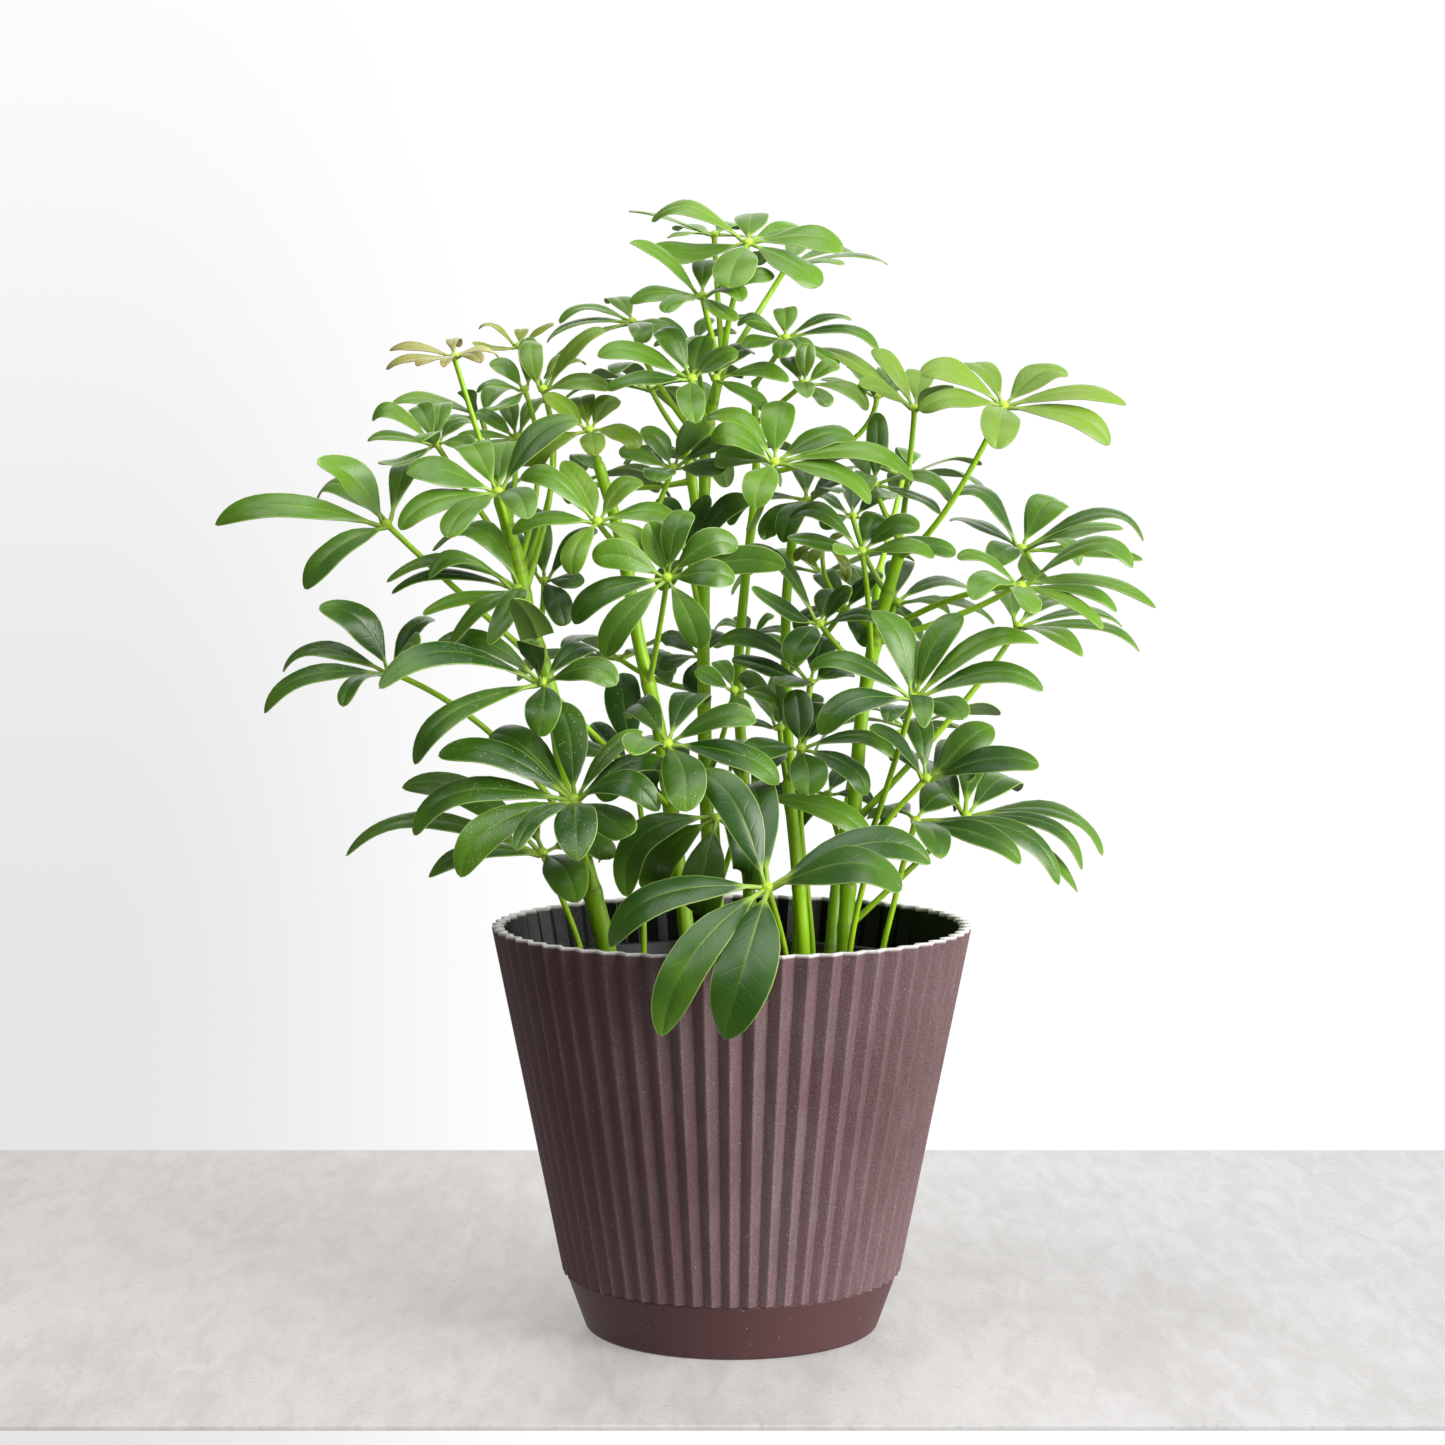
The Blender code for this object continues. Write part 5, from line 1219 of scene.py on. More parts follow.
@dataclass(frozen=True)
class StalkFinish:
    """A fresh green stalk: yellower on petioles, striped on canes, brown at leaf scars, with painted shade
    in cloudy patches.
    """

    name: str = "green_stalk"
    cane: Colour = (0.36, 0.68, 0.006)
    # The colour of a cane's foot, and of the painted shade in cloudy patches
    cane_foot_and_shade: Colour = (0.15, 0.31, 0.01)
    petiole: Colour = (0.38, 0.66, 0.02)
    hub: Colour = (0.5, 0.72, 0.05)
    scar: Colour = (0.16, 0.11, 0.03)
    roughness: float = 0.38
    glow: float = 0.15
    stripe_depth: float = 0.00025

    def material(self) -> bpy.types.Material:
        """Builds the material.

        Returns:
            The material.
        """
        made, nodes, shader = new_material(self.name)
        rise, wood, scar, hub = map(nodes.mark, STALK_MARKS)
        stripes = nodes.noise(1.0, 3.0, stretch=(420.0, 420.0, 26.0))
        cloud = nodes.noise(28.0, 3.0)
        cane = nodes.mix(nodes.spread(rise, 0.0, 0.5), self.cane_foot_and_shade, self.cane)
        base = nodes.mix(wood, self.petiole, cane)
        colour = nodes.layers(
            base,
            # Painted shade: cloudy patches mixed towards the foot colour
            (nodes.spread(cloud, 0.35, 0.7, 0.0, 0.6), nodes.mix(0.45, base, self.cane_foot_and_shade)),
            (nodes.spread(stripes, 0.52, 0.72, 0.0, 0.3), self.hub),
            (nodes.spread(hub, 0.1, 0.9, 0.0, 0.85), self.hub),
            (nodes.times(scar, nodes.spread(stripes, 0.3, 0.6, 0.2, 0.6)), self.scar))
        nodes.feed(shader, {
            "Base Color": colour,
            "Roughness": nodes.plus(nodes.times(cloud, 0.2), self.roughness - 0.1),
            "Subsurface Weight": self.glow,
            "Subsurface Radius": GLOW_REACH,
            "Subsurface Scale": 0.0015,
            "Normal": nodes.bump(stripes, self.stripe_depth),
        })
        return made


@dataclass(frozen=True)
class PotFinish:
    """Matt plum-brown plastic, black inside, with grain, dust, a pale film on the flutes that is part dust
    and part painted sheen and fades towards the left, worn ridges, and a painted highlight on the rim's top.
    """

    name: str = "matt_plum_brown"
    outside: Colour = (0.083, 0.034, 0.036)
    # Laid on the ridges as wear, and with the film as painted sheen
    wear_and_sheen: Colour = (0.23, 0.16, 0.168)
    inside: Colour = (0.005, 0.0046, 0.0046)
    # A painted highlight, laid pale on the rim's top
    rim: Colour = (0.85, 0.82, 0.81)
    dust: Colour = (0.62, 0.56, 0.54)
    shine: float = 0.32
    inner_gloss: float = 0.32
    grain_depth: float = 0.00022

    def material(self) -> bpy.types.Material:
        """Builds the material.

        Returns:
            The material.
        """
        made, nodes, shader = new_material(self.name)
        inner, ridge, rim, fluted = map(nodes.mark, POT_MARKS)
        height, tone = nodes.group(grain_group(), scale=1500.0, drift=16.0)
        streak = nodes.noise(1.0, 3.0, stretch=(300.0, 300.0, 7.0))
        # The pale film is part dust and part painted sheen
        dust_film_and_sheen = nodes.spread(tone, 0.3, 0.7, 0.18, 0.36)
        dust_film_and_sheen = nodes.plus(dust_film_and_sheen, nodes.spread(streak, 0.45, 0.75, 0.0, 0.18))
        dust_film_and_sheen = nodes.plus(dust_film_and_sheen, nodes.spread(height, 0.4, 0.7, 0.0, 0.3))
        # Painted sheen: less of the film towards the left, where less light falls
        dust_film_and_sheen = nodes.times(dust_film_and_sheen, nodes.spread(nodes.axes(nodes.place())[0], -0.07, 0.02, 0.3, 1.0))
        wear_and_sheen = nodes.times(ridge, nodes.spread(height, 0.35, 0.7, 0.1, 0.8))
        specks = nodes.group(dust_group(), scale=760.0, size=0.12, amount=0.14)[0]
        colour = nodes.layers(
            self.outside,
            # The film with its painted sheen goes on the fluted sleeve only
            (nodes.times(dust_film_and_sheen, fluted), self.wear_and_sheen),
            (nodes.times(wear_and_sheen, nodes.spread(tone, 0.35, 0.65)), self.wear_and_sheen),
            (nodes.times(specks, 0.8), self.dust),
            (inner, self.inside),
            # Painted highlight on the rim's top
            (nodes.times(rim, nodes.spread(height, 0.3, 0.6, 0.75, 1.0)), self.rim))
        rough = nodes.spread(tone, 0.2, 0.8, 0.44, 0.56)
        nodes.feed(shader, {
            "Base Color": colour,
            "Specular IOR Level": self.shine,
            "Roughness": nodes.minus(rough, nodes.times(inner, self.inner_gloss)),
            "Normal": nodes.bump(height, self.grain_depth),
        })
        return made


@dataclass(frozen=True)
class NurseryFinish:
    """Thin black plastic with a faint sheen, scuffs and dust."""

    name: str = "nursery_black_plastic"
    body: Colour = (0.01, 0.01, 0.011)
    scuff: Colour = (0.06, 0.057, 0.055)
    dust: Colour = (0.2, 0.16, 0.12)
    grain_depth: float = 0.0001

    def material(self) -> bpy.types.Material:
        """Builds the material.

        Returns:
            The material.
        """
        made, nodes, shader = new_material(self.name)
        height, tone = nodes.group(grain_group(), scale=600.0, drift=20.0)
        specks = nodes.group(dust_group(), scale=520.0, size=0.18, amount=0.3)[0]
        colour = nodes.layers(
            self.body,
            (nodes.spread(tone, 0.45, 0.75, 0.0, 0.6), self.scuff),
            (nodes.times(specks, 0.5), self.dust))
        nodes.feed(shader, {
            "Base Color": colour,
            "Roughness": nodes.spread(tone, 0.2, 0.8, 0.32, 0.55),
            "Normal": nodes.bump(height, self.grain_depth),
        })
        return made


@dataclass(frozen=True)
class SoilFinish:
    """Dark peat with fibres, paler bark chips and a few white grains of perlite."""

    name: str = "peat_and_bark"
    damp: Colour = (0.012, 0.008, 0.005)
    dry: Colour = (0.06, 0.038, 0.022)
    bark: Colour = (0.13, 0.075, 0.04)
    perlite: Colour = (0.6, 0.58, 0.53)
    roughness: float = 0.92
    crumb_depth: float = 0.0015

    def material(self) -> bpy.types.Material:
        """Builds the material.

        Returns:
            The material.
        """
        made, nodes, shader = new_material(self.name)
        chip, grain = map(nodes.mark, SOIL_MARKS)
        crumbs = nodes.noise(260.0, 4.0)
        height, tone = nodes.group(grain_group(), scale=900.0, drift=30.0)
        colour = nodes.layers(
            self.damp,
            (nodes.spread(crumbs, 0.35, 0.7), self.dry),
            (nodes.spread(tone, 0.4, 0.7, 0.0, 0.4), self.dry),
            (chip, nodes.mix(nodes.spread(height, 0.3, 0.7, 0.0, 0.8), self.bark, self.dry)),
            (grain, self.perlite))
        nodes.feed(shader, {
            "Base Color": colour,
            "Roughness": self.roughness,
            "Normal": nodes.bump(nodes.plus(crumbs, nodes.times(height, 0.4)), self.crumb_depth),
        })
        return made


@dataclass(frozen=True)
class TableFinish:
    """A pale grey table top with soft clouds and fine specks, and painted shade that greys it towards the
    left.

    The lift lets the top glow a little, for the even light of the photograph.
    """

    name: str = "pale_grey_table"
    low: Colour = (0.25, 0.243, 0.239)
    high: Colour = (0.305, 0.299, 0.296)
    spot: Colour = (0.17, 0.163, 0.157)
    # Painted shade, multiplied over the top towards the left
    shade: Colour = (0.93, 0.91, 0.895)
    lift: float = 1.22
    grain_depth: float = 0.0002

    def material(self) -> bpy.types.Material:
        """Builds the material.

        Returns:
            The material.
        """
        made, nodes, shader = new_material(self.name)
        wide = nodes.noise(3.2, 5.0, distortion=0.6)
        close = nodes.noise(1.0, 6.0, (34.0, 11.0, 1.0), 0.4)
        streaks = nodes.noise(1.0, 6.0, (110.0, 30.0, 1.0), 0.8)
        stain = nodes.noise(1.0, 7.0, (10.0, 3.6, 1.0), 1.2)
        height, _ = nodes.group(grain_group(), scale=420.0, drift=60.0)
        tone = nodes.plus(nodes.times(wide, 0.35), nodes.times(close, 0.35))
        tone = nodes.plus(tone, nodes.times(streaks, 0.3))
        colour = nodes.layers(
            self.low,
            (nodes.spread(tone, 0.38, 0.6), self.high),
            (nodes.spread(height, 0.56, 0.74, 0.0, 0.4), self.spot),
            (nodes.spread(stain, 0.54, 0.7, 0.0, 0.2), self.spot))
        # Painted shade: darker towards the left, away from the light
        left = nodes.spread(nodes.axes(nodes.place())[0], -0.25, 0.22, 1.0, 0.0)
        colour = nodes.mix(left, colour, self.shade, "MULTIPLY")
        nodes.feed(shader, {
            "Base Color": colour,
            "Emission Color": colour,
            "Emission Strength": self.lift,
            "Roughness": nodes.spread(close, 0.3, 0.7, 0.5, 0.68),
            "Normal": nodes.bump(height, self.grain_depth),
        })
        return made


def new_object(name: str, data: bpy.types.ID) -> bpy.types.Object:
    """Puts an object in the scene.

    Args:
        name: Its name.
        data: Its mesh, lamp or camera.

    Returns:
        The object.
    """
    made = bpy.data.objects.new(name, data)
    bpy.context.scene.collection.objects.link(made)
    return made


@dataclass
class Buffer:
    """Points, faces and marks of one piece, gathered from many closed parts."""

    name: str
    marks: tuple[str, ...]
    points: list[np.ndarray] = field(default_factory=list)
    faces: Faces = field(default_factory=list)
    values: dict[str, list[np.ndarray]] = field(default_factory=dict)
    count: int = 0

    def add(self, points: np.ndarray, faces: Faces, **values: float | np.ndarray) -> None:
        """Adds a part.

        Args:
            points: Its points, in millimetres.
            faces: Its faces, numbered from 0.
            values: Its marks, one number or one for each point.
        """
        self.points.append(points)
        self.faces.extend([tuple(corner + self.count for corner in face) for face in faces])
        for mark in self.marks:
            value = np.broadcast_to(np.asarray(values.get(mark, 0.0), dtype=float), (len(points),))
            self.values.setdefault(mark, []).append(value)
        self.count += len(points)

    def piece(self, material: bpy.types.Material, nodes: tuple[str, ...], sharp: float) -> None:
        """Makes the object, shades it smooth and puts it in place of its nodes.

        Args:
            material: Its material.
            nodes: The CAD nodes that it stands for.
            sharp: The angle above which an edge stays sharp, in radians.
        """
        mesh = bpy.data.meshes.new(self.name)
        mesh.from_pydata((np.concatenate(self.points) * MM).tolist(), [], self.faces)
        for mark in self.marks:
            layer = mesh.attributes.new(mark, "FLOAT", "POINT")
            layer.data.foreach_set("value", np.concatenate(self.values[mark]).astype(np.float32))
        mesh.materials.append(material)
        mesh.shade_smooth()
        mesh.set_sharp_from_angle(angle=sharp)
        mesh.update()
        thing = new_object(self.name, mesh)
        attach(thing, "root")
        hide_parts(*nodes)
        LOG.info("%s: %d points, %d faces", self.name, self.count, len(self.faces))


def skin(rows: int, size: int) -> Faces:
    """Faces of a closed tube of rings, with fans round two more points at its ends.

    Args:
        rows: The number of rings.
        size: The points in each ring.

    Returns:
        The faces; the first end's point comes after the rings, and the last end's after it.
    """
    faces = bands(rows, size)
    top = (rows - 1) * size
    for k in range(size):
        after = (k + 1) % size
        faces += [(rows * size, after, k), (rows * size + 1, top + k, top + after)]
    return faces


def even_turns(count: int) -> np.ndarray:
    """Angles spread evenly over a full turn."""
    return np.arange(count) * 2 * pi / count


def level_ring(radius: float | np.ndarray, turns: np.ndarray, height: float) -> np.ndarray:
    """Points round the pots' axis at one height."""
    return np.stack([radius * np.cos(turns), radius * np.sin(turns), np.full(len(turns), height)], axis=1)


def unit(rows: np.ndarray) -> np.ndarray:
    """Directions brought to length 1."""
    return rows / np.linalg.norm(rows, axis=1)[:, None]


def bell(off: float | np.ndarray, width: float) -> np.ndarray:
    """A smooth hump that is 1 where off is 0 and fades over the width."""
    return np.exp(-(off / width) ** 2)


def step_lengths(path: np.ndarray) -> np.ndarray:
    """The distance from each point of a path to the next."""
    return np.linalg.norm(np.diff(path, axis=0), axis=1)


def smooth_path(points: Ring, count: int) -> np.ndarray:
    """Points along a smooth curve through others.

    Args:
        points: The points to pass through.
        count: How many points to return.

    Returns:
        The points, evenly spread over the curve's parameter.
    """
    given = np.array([tuple(point) for point in points])
    steps = step_lengths(given)
    stops = np.concatenate([[0.0], np.cumsum(steps)])
    slopes = np.gradient(given, stops, axis=0)
    placed = []
    for spot in np.linspace(0.0, stops[-1], count):
        k = min(int(np.searchsorted(stops, spot, side="right")) - 1, len(given) - 2)
        t = (spot - stops[k]) / steps[k]
        rise = t * t * (3 - 2 * t)
        leave = t * (1 - t) ** 2 * steps[k]
        arrive = t * t * (1 - t) * steps[k]
        placed.append(given[k] * (1 - rise) + given[k + 1] * rise
                      + slopes[k] * leave - slopes[k + 1] * arrive)
    return np.array(placed)


def tube(path: np.ndarray, radii: np.ndarray, sides: int) -> tuple[np.ndarray, Faces]:
    """A closed round tube with domed ends.

    Args:
        path: Its middle line.
        radii: Its radius at each point.
        sides: The points in each ring.

    Returns:
        Its points and faces.
    """
    ways = unit(np.gradient(path, axis=0))
    side = np.array(Vector(ways[0]).orthogonal().normalized())
    turns = even_turns(sides)
    rings = []
    for place, way, radius in zip(path, ways, radii):
        side = side - way * (side @ way)
        side /= np.linalg.norm(side)
        other = np.cross(way, side)
        rings.append(place + (np.outer(np.cos(turns), side) + np.outer(np.sin(turns), other)) * radius)
    ends = [path[0] - ways[0] * radii[0] * 0.4, path[-1] + ways[-1] * radii[-1] * 0.4]
    return np.vstack(rings + [ends]), skin(len(path), sides)


@dataclass(frozen=True)
class LeafletForm:
    """The outline and relief of a leaflet, as shares of its length and half width unless in millimetres."""

    stations: int = 17
    stalk_share: float = 0.065
    widest: float = 0.56
    base_fullness: float = 2.5
    tip_bulge: float = 2.2
    tip_round: float = 0.52
    fold: float = 0.19
    droop: float = 0.22
    wave: float = 0.07
    sickle: float = 0.042
    curl: float = 0.012
    ripple: float = 0.008
    roll: float = 0.22
    small_mm: float = 25.0
    large_mm: float = 55.0
    thickness_mm: float = 0.55
    margin_mm: float = 0.3
    groove_mm: float = 0.14
    rib_mm: float = 0.5
    stalk_mm: float = 0.45
    stalk_growth: float = 0.0085
    least_half_mm: float = 0.02
    columns: tuple[float, ...] = (-1.0, -0.86, -0.55, -0.2, -0.06, 0.0, 0.06, 0.2, 0.55, 0.86, 1.0)

    def shares(self) -> np.ndarray:
        """Places the stations, closer together near the tip.

        Returns:
            Their shares of the length.
        """
        stalk = np.linspace(0.0, self.stalk_share, 3)
        spread = 1 - (1 - np.linspace(0.0, 1.0, self.stations - 2)[1:]) ** 1.5
        return np.concatenate([stalk, self.stalk_share + (1 - self.stalk_share) * spread])

    def outline(self, t: np.ndarray, widest: float, roundness: float) -> np.ndarray:
        """The half width at each share of the length.

        Args:
            t: The shares.
            widest: The share where the blade is widest.
            roundness: The power that rounds the tip.

        Returns:
            The half widths, as shares of the largest.
        """
        first = self.stalk_share * 0.9
        rising = 1 - (1 - np.clip((t - first) / (widest - first), 0, 1)) ** self.base_fullness
        falling = (1 - np.clip((t - widest) / (1 - widest), 0, 1) ** self.tip_bulge) ** roundness
        return np.where(t < widest, rising, falling)

    def mesh(self, blade: Blade, luck: np.random.Generator) -> tuple[np.ndarray, Faces, Marks]:
        """Shapes one leaflet along its planned midrib.

        Args:
            blade: The leaflet's plan.
            luck: The source of its small differences.

        Returns:
            Its points, faces and marks.
        """
        draw = luck.uniform(-1.0, 1.0, 10)
        t = self.shares()
        start, control, end = (np.array(point) for point in (blade.start, blade.control, blade.end))
        length = np.linalg.norm(end - start)
        middle = np.outer((1 - t) ** 2, start) + np.outer(2 * t * (1 - t), control) + np.outer(t ** 2, end)
        ways = unit(np.outer(2 * (1 - t), control - start) + np.outer(2 * t, end - control))
        chord = (end - start) / length
        across = unit(np.cross(np.outer(1 - t, chord) + ways * t[:, None], np.array(blade.axis)))
        normal = unit(np.cross(across, ways))
        middle = middle + across * (np.sin(pi * t) * draw[0] * self.sickle * length)[:, None]
        curl = np.sin(2 * pi * t) * draw[1] * self.ripple - self.curl * (1 + 0.5 * draw[9]) * t ** 4
        middle = middle + normal * (curl * length)[:, None]
        roll = draw[2] * self.roll * np.clip((t - 0.1) / 0.5, 0, 1)
        wide = across * np.cos(roll)[:, None] + normal * np.sin(roll)[:, None]
        high = normal * np.cos(roll)[:, None] - across * np.sin(roll)[:, None]
        size_share = np.clip((length - self.small_mm) / (self.large_mm - self.small_mm), 0.0, 1.0)
        point = self.tip_round + 0.1 * size_share + 0.08 * draw[4]
        width = self.outline(t, self.widest - 0.05 * size_share + 0.03 * draw[3], point)
        half = np.maximum(blade.half * (1 + 0.05 * draw[5]) * width, self.least_half_mm)
        v = np.array(self.columns)
        size = len(v)
        x = half[:, None] * v[None, :] * (1 + 0.05 * draw[6] * np.sign(v)[None, :])
        bend = self.fold * (1 + 0.5 * draw[7]) * (np.sqrt(v ** 2 + 0.006) - 0.077) - self.droop * v ** 2
        waves = self.wave * np.sin(2 * pi * (1.5 * t[:, None] + 0.5 * draw[8] + 0.2 * np.sign(v)[None, :]))
        rest = half[:, None] * (bend[None, :] + waves * v[None, :] ** 2)
        inset = np.clip(half / 4.0, 0, 1)[:, None]
        groove = self.groove_mm * bell(x, 0.45) * inset
        thick = self.margin_mm + (self.thickness_mm - self.margin_mm) * (1 - v[None, :] ** 2)
        rib = self.rib_mm * (1 - 0.8 * t[:, None]) * bell(x, 0.55) * inset
        top, low = rest - groove, rest - thick - rib
        xs = np.hstack([x, x[:, ::-1]])
        ys = np.hstack([top, low[:, ::-1]])
        radius = self.stalk_mm + self.stalk_growth * length
        spots = np.arange(size) + 0.5
        turns = np.concatenate([pi * (1 - spots / size), -pi * spots / size])
        flat = np.clip((t - self.stalk_share * 0.8) / (self.stalk_share * 0.9), 0, 1)
        flat = (flat * flat * (3 - 2 * flat))[:, None]
        xs = xs * flat + radius * np.cos(turns)[None, :] * (1 - flat)
        ys = ys * flat + radius * (np.sin(turns)[None, :] - 0.3) * (1 - flat)
        body = middle[:, None, :] + xs[:, :, None] * wide[:, None, :] + ys[:, :, None] * high[:, None, :]
        points = np.vstack([body.reshape(-1, 3), start[None, :], (end + ways[-1] * 0.15)[None, :]])
        ring = np.concatenate([v, v[::-1]])
        far = (1 - np.abs(ring))[None, :] * half[:, None]
        edge = np.minimum(far, ((1 - t) * length)[:, None] * 0.8)
        marks = {
            "along": np.append(np.repeat(t, 2 * size), [0.0, 1.0]),
            "across": np.append(np.tile(np.abs(ring), len(t)), [0.0, 0.0]),
            "edge_mm": np.append(edge.ravel(), [1.0, 0.0]),
            "under": np.append(np.tile(np.repeat([0.0, 1.0], size), len(t)), [0.0, 0.0]),
            "stalk": np.append(np.repeat(1 - flat[:, 0], 2 * size), [1.0, 0.0]),
        }
        return points, skin(len(t), 2 * size), marks


# How light the leaves of each tone are, where 0 is the finish's deep colour and 1 its fresh one
SHADES = {Tone.DARK: 0.12, Tone.MID: 0.46, Tone.LIGHT: 0.85, Tone.GOLD: 0.6, Tone.BRONZE: 0.6}

GREEN_LEAF = LeafFinish(
    "green_leaf", deep=(0.02, 0.076, 0.004), full=(0.11, 0.25, 0.012), fresh=(0.26, 0.42, 0.038),
    rib=(0.3, 0.48, 0.05), margin=(0.42, 0.58, 0.14), under=(0.15, 0.27, 0.04), flush=(0.13, 0.3, 0.01),
    flush_share=0.5)
LEAF_FINISHES = {
    Tone.DARK: GREEN_LEAF,
    Tone.MID: GREEN_LEAF,
    Tone.LIGHT: LeafFinish(
        "fresh_light_leaf", deep=(0.085, 0.18, 0.006), full=(0.14, 0.265, 0.013), fresh=(0.21, 0.35, 0.03),
        rib=(0.3, 0.43, 0.07), margin=(0.36, 0.46, 0.11), under=(0.18, 0.3, 0.045), flush=(0.2, 0.36, 0.015),
        flush_share=0.4, roughness=0.44, coat=0.08, glow=0.0, dust=0.0),
    Tone.GOLD: LeafFinish(
        "young_gold_leaf", deep=(0.07, 0.16, 0.001), full=(0.11, 0.215, 0.002), fresh=(0.18, 0.28, 0.006),
        rib=(0.34, 0.46, 0.03), margin=(0.42, 0.44, 0.05), under=(0.15, 0.26, 0.006),
        flush=(0.19, 0.28, 0.002), flush_share=0.5, roughness=0.46, coat=0.0, glow=0.0, dust=0.0),
    Tone.BRONZE: LeafFinish(
        "young_bronze_leaf", deep=(0.2, 0.25, 0.04), full=(0.32, 0.34, 0.08), fresh=(0.44, 0.42, 0.15),
        rib=(0.38, 0.42, 0.07), margin=(0.42, 0.26, 0.1), under=(0.34, 0.32, 0.12), flush=(0.36, 0.24, 0.08),
        flush_share=0.6, dust=0.0),
}

# How much darker or lighter some leaves are than their tone
SHADE_SHIFT = {"left_far": -0.26, "left_front": 0.1, "left_low": 0.14, "front": -0.06}

# Painted light: how much lighter a leaflet is painted for hanging its leaf's whole reach below the hub,
# where it faces the front light
USUAL_HANGING_PAINTED_LIGHT = 0.15
HANGING_PAINTED_LIGHT = {"front": 0.3}

# Leaves of a cane's own node that are still yellow-green, by how far
YOUNG_TINGE = {"left_red": 0.8, "left_arch": 0.15, "right_sprig": 0.5, "centre_small": 0.1}


@dataclass
class Foliage:
    """The canes, petioles and leaves, two pieces for each node: its leaflets and its stalks."""

    leaves: list[LeafPlan]
    form: LeafletForm = field(default_factory=LeafletForm)
    petiole_radius: float = 1.15
    petiole_sides: int = 10
    cane_sides: int = 18
    cane_step: float = 4.0
    first_scar: float = 34.0
    scar_step: float = 31.0
    petiole_steps: int = 14
    leaf_luck: float = 0.12
    leaflet_luck: float = 0.08
    little_dust: float = 0.4
    leaf_sharp: float = 0.9
    stalk_sharp: float = 1.2

    def build(self) -> None:
        """Builds every node's two pieces."""
        materials = {finish: finish.material() for finish in dict.fromkeys(LEAF_FINISHES.values())}
        green = StalkFinish().material()
        groups: dict[str, list[LeafPlan]] = {}
        for leaf in self.leaves:
            groups.setdefault(leaf.node, []).append(leaf)
        for node, members in groups.items():
            blades = Buffer(node + "_leaflets", LEAF_MARKS)
            stalks = Buffer(node + "_stalks", STALK_MARKS)
            if node in CANES:
                self.add_cane(stalks, CANES[node], members)
            for leaf in members:
                self.add_leaf(blades, stalks, leaf)
            finish = LEAF_FINISHES[members[0].row.tone]
            blades.piece(materials[finish], (node,), self.leaf_sharp)
            stalks.piece(green, (node,), self.stalk_sharp)

    def add_leaf(self, blades: Buffer, stalks: Buffer, leaf: LeafPlan) -> None:
        """Adds a compound leaf's leaflets, hub and petiole.

        Args:
            blades: Takes the leaflets.
            stalks: Takes the hub and petiole.
            leaf: The leaf's plan.
        """
        name, reach = leaf.row.name, leaf.row.reach
        luck = np.random.default_rng(sum(ord(letter) * (k + 1) for k, letter in enumerate(name)))
        shade = SHADES[leaf.row.tone] + luck.uniform(-self.leaf_luck, self.leaf_luck)
        shade += SHADE_SHIFT.get(name, 0.0)
        low_in_front = leaf.hub.z < 260 and leaf.hub.y < 0 and leaf.hub.x < -20
        dusty = 1.0 if low_in_front else self.little_dust
        for item in leaf.blades:
            points, faces, marks = self.form.mesh(item, luck)
            hang = max(0.0, leaf.hub.z - item.end.z - 0.2 * reach) / reach
            # Painted light: a leaflet that hangs below its hub is laid lighter
            lot = shade + HANGING_PAINTED_LIGHT.get(name, USUAL_HANGING_PAINTED_LIGHT) * hang
            lot += luck.uniform(-self.leaflet_luck, self.leaflet_luck)
            blades.add(points, faces, shade=lot, pick=luck.uniform(-1, 1), dusty=dusty,
                       young=YOUNG_TINGE.get(name, 0.0), **marks)
        self.add_petiole(stalks, leaf)
        self.add_hub(stalks, leaf)

    def add_petiole(self, stalks: Buffer, leaf: LeafPlan) -> None:
        """Adds a petiole, thicker at its foot and just below its hub.

        Args:
            stalks: Takes the petiole.
            leaf: The leaf's plan.
        """
        if leaf.bend:
            joint, control = leaf.bend
            shares = [k / self.petiole_steps for k in range(self.petiole_steps + 1)]
            path = np.array([tuple(curve_point(joint, control, leaf.hub, share)) for share in shares])
        else:
            path = smooth_path(leaf.petiole, 26)
        share = np.linspace(0.0, 1.0, len(path))
        slim = min(1.0, 0.72 + leaf.row.reach * 0.0065) * self.petiole_radius
        swell = 1 + 0.45 * bell(share, 0.06) + 0.25 * bell(1 - share, 0.05)
        points, faces = tube(path, slim * (1.08 - 0.16 * share) * swell, self.petiole_sides)
        hub = np.append(np.repeat(bell(1 - share, 0.12) * 0.7, self.petiole_sides), [0.0, 1.0])
        stalks.add(points, faces, rise=1.0, hub=hub)

    def add_hub(self, stalks: Buffer, leaf: LeafPlan) -> None:
        """Adds the small knob that a leaf's stalklets spring from.

        Args:
            stalks: Takes the knob.
            leaf: The leaf's plan.
        """
        axis = np.array(leaf.axis)
        size = HUB_RADIUS * min(1.0, 0.72 + leaf.row.reach * 0.005)
        heights = np.linspace(-0.9, 0.75, 7)
        path = np.array(leaf.hub) + np.outer(heights * size * 0.8, axis)
        points, faces = tube(path, np.sqrt(1 - heights ** 2) * size, self.petiole_sides)
        stalks.add(points, faces, rise=1.0, hub=1.0)

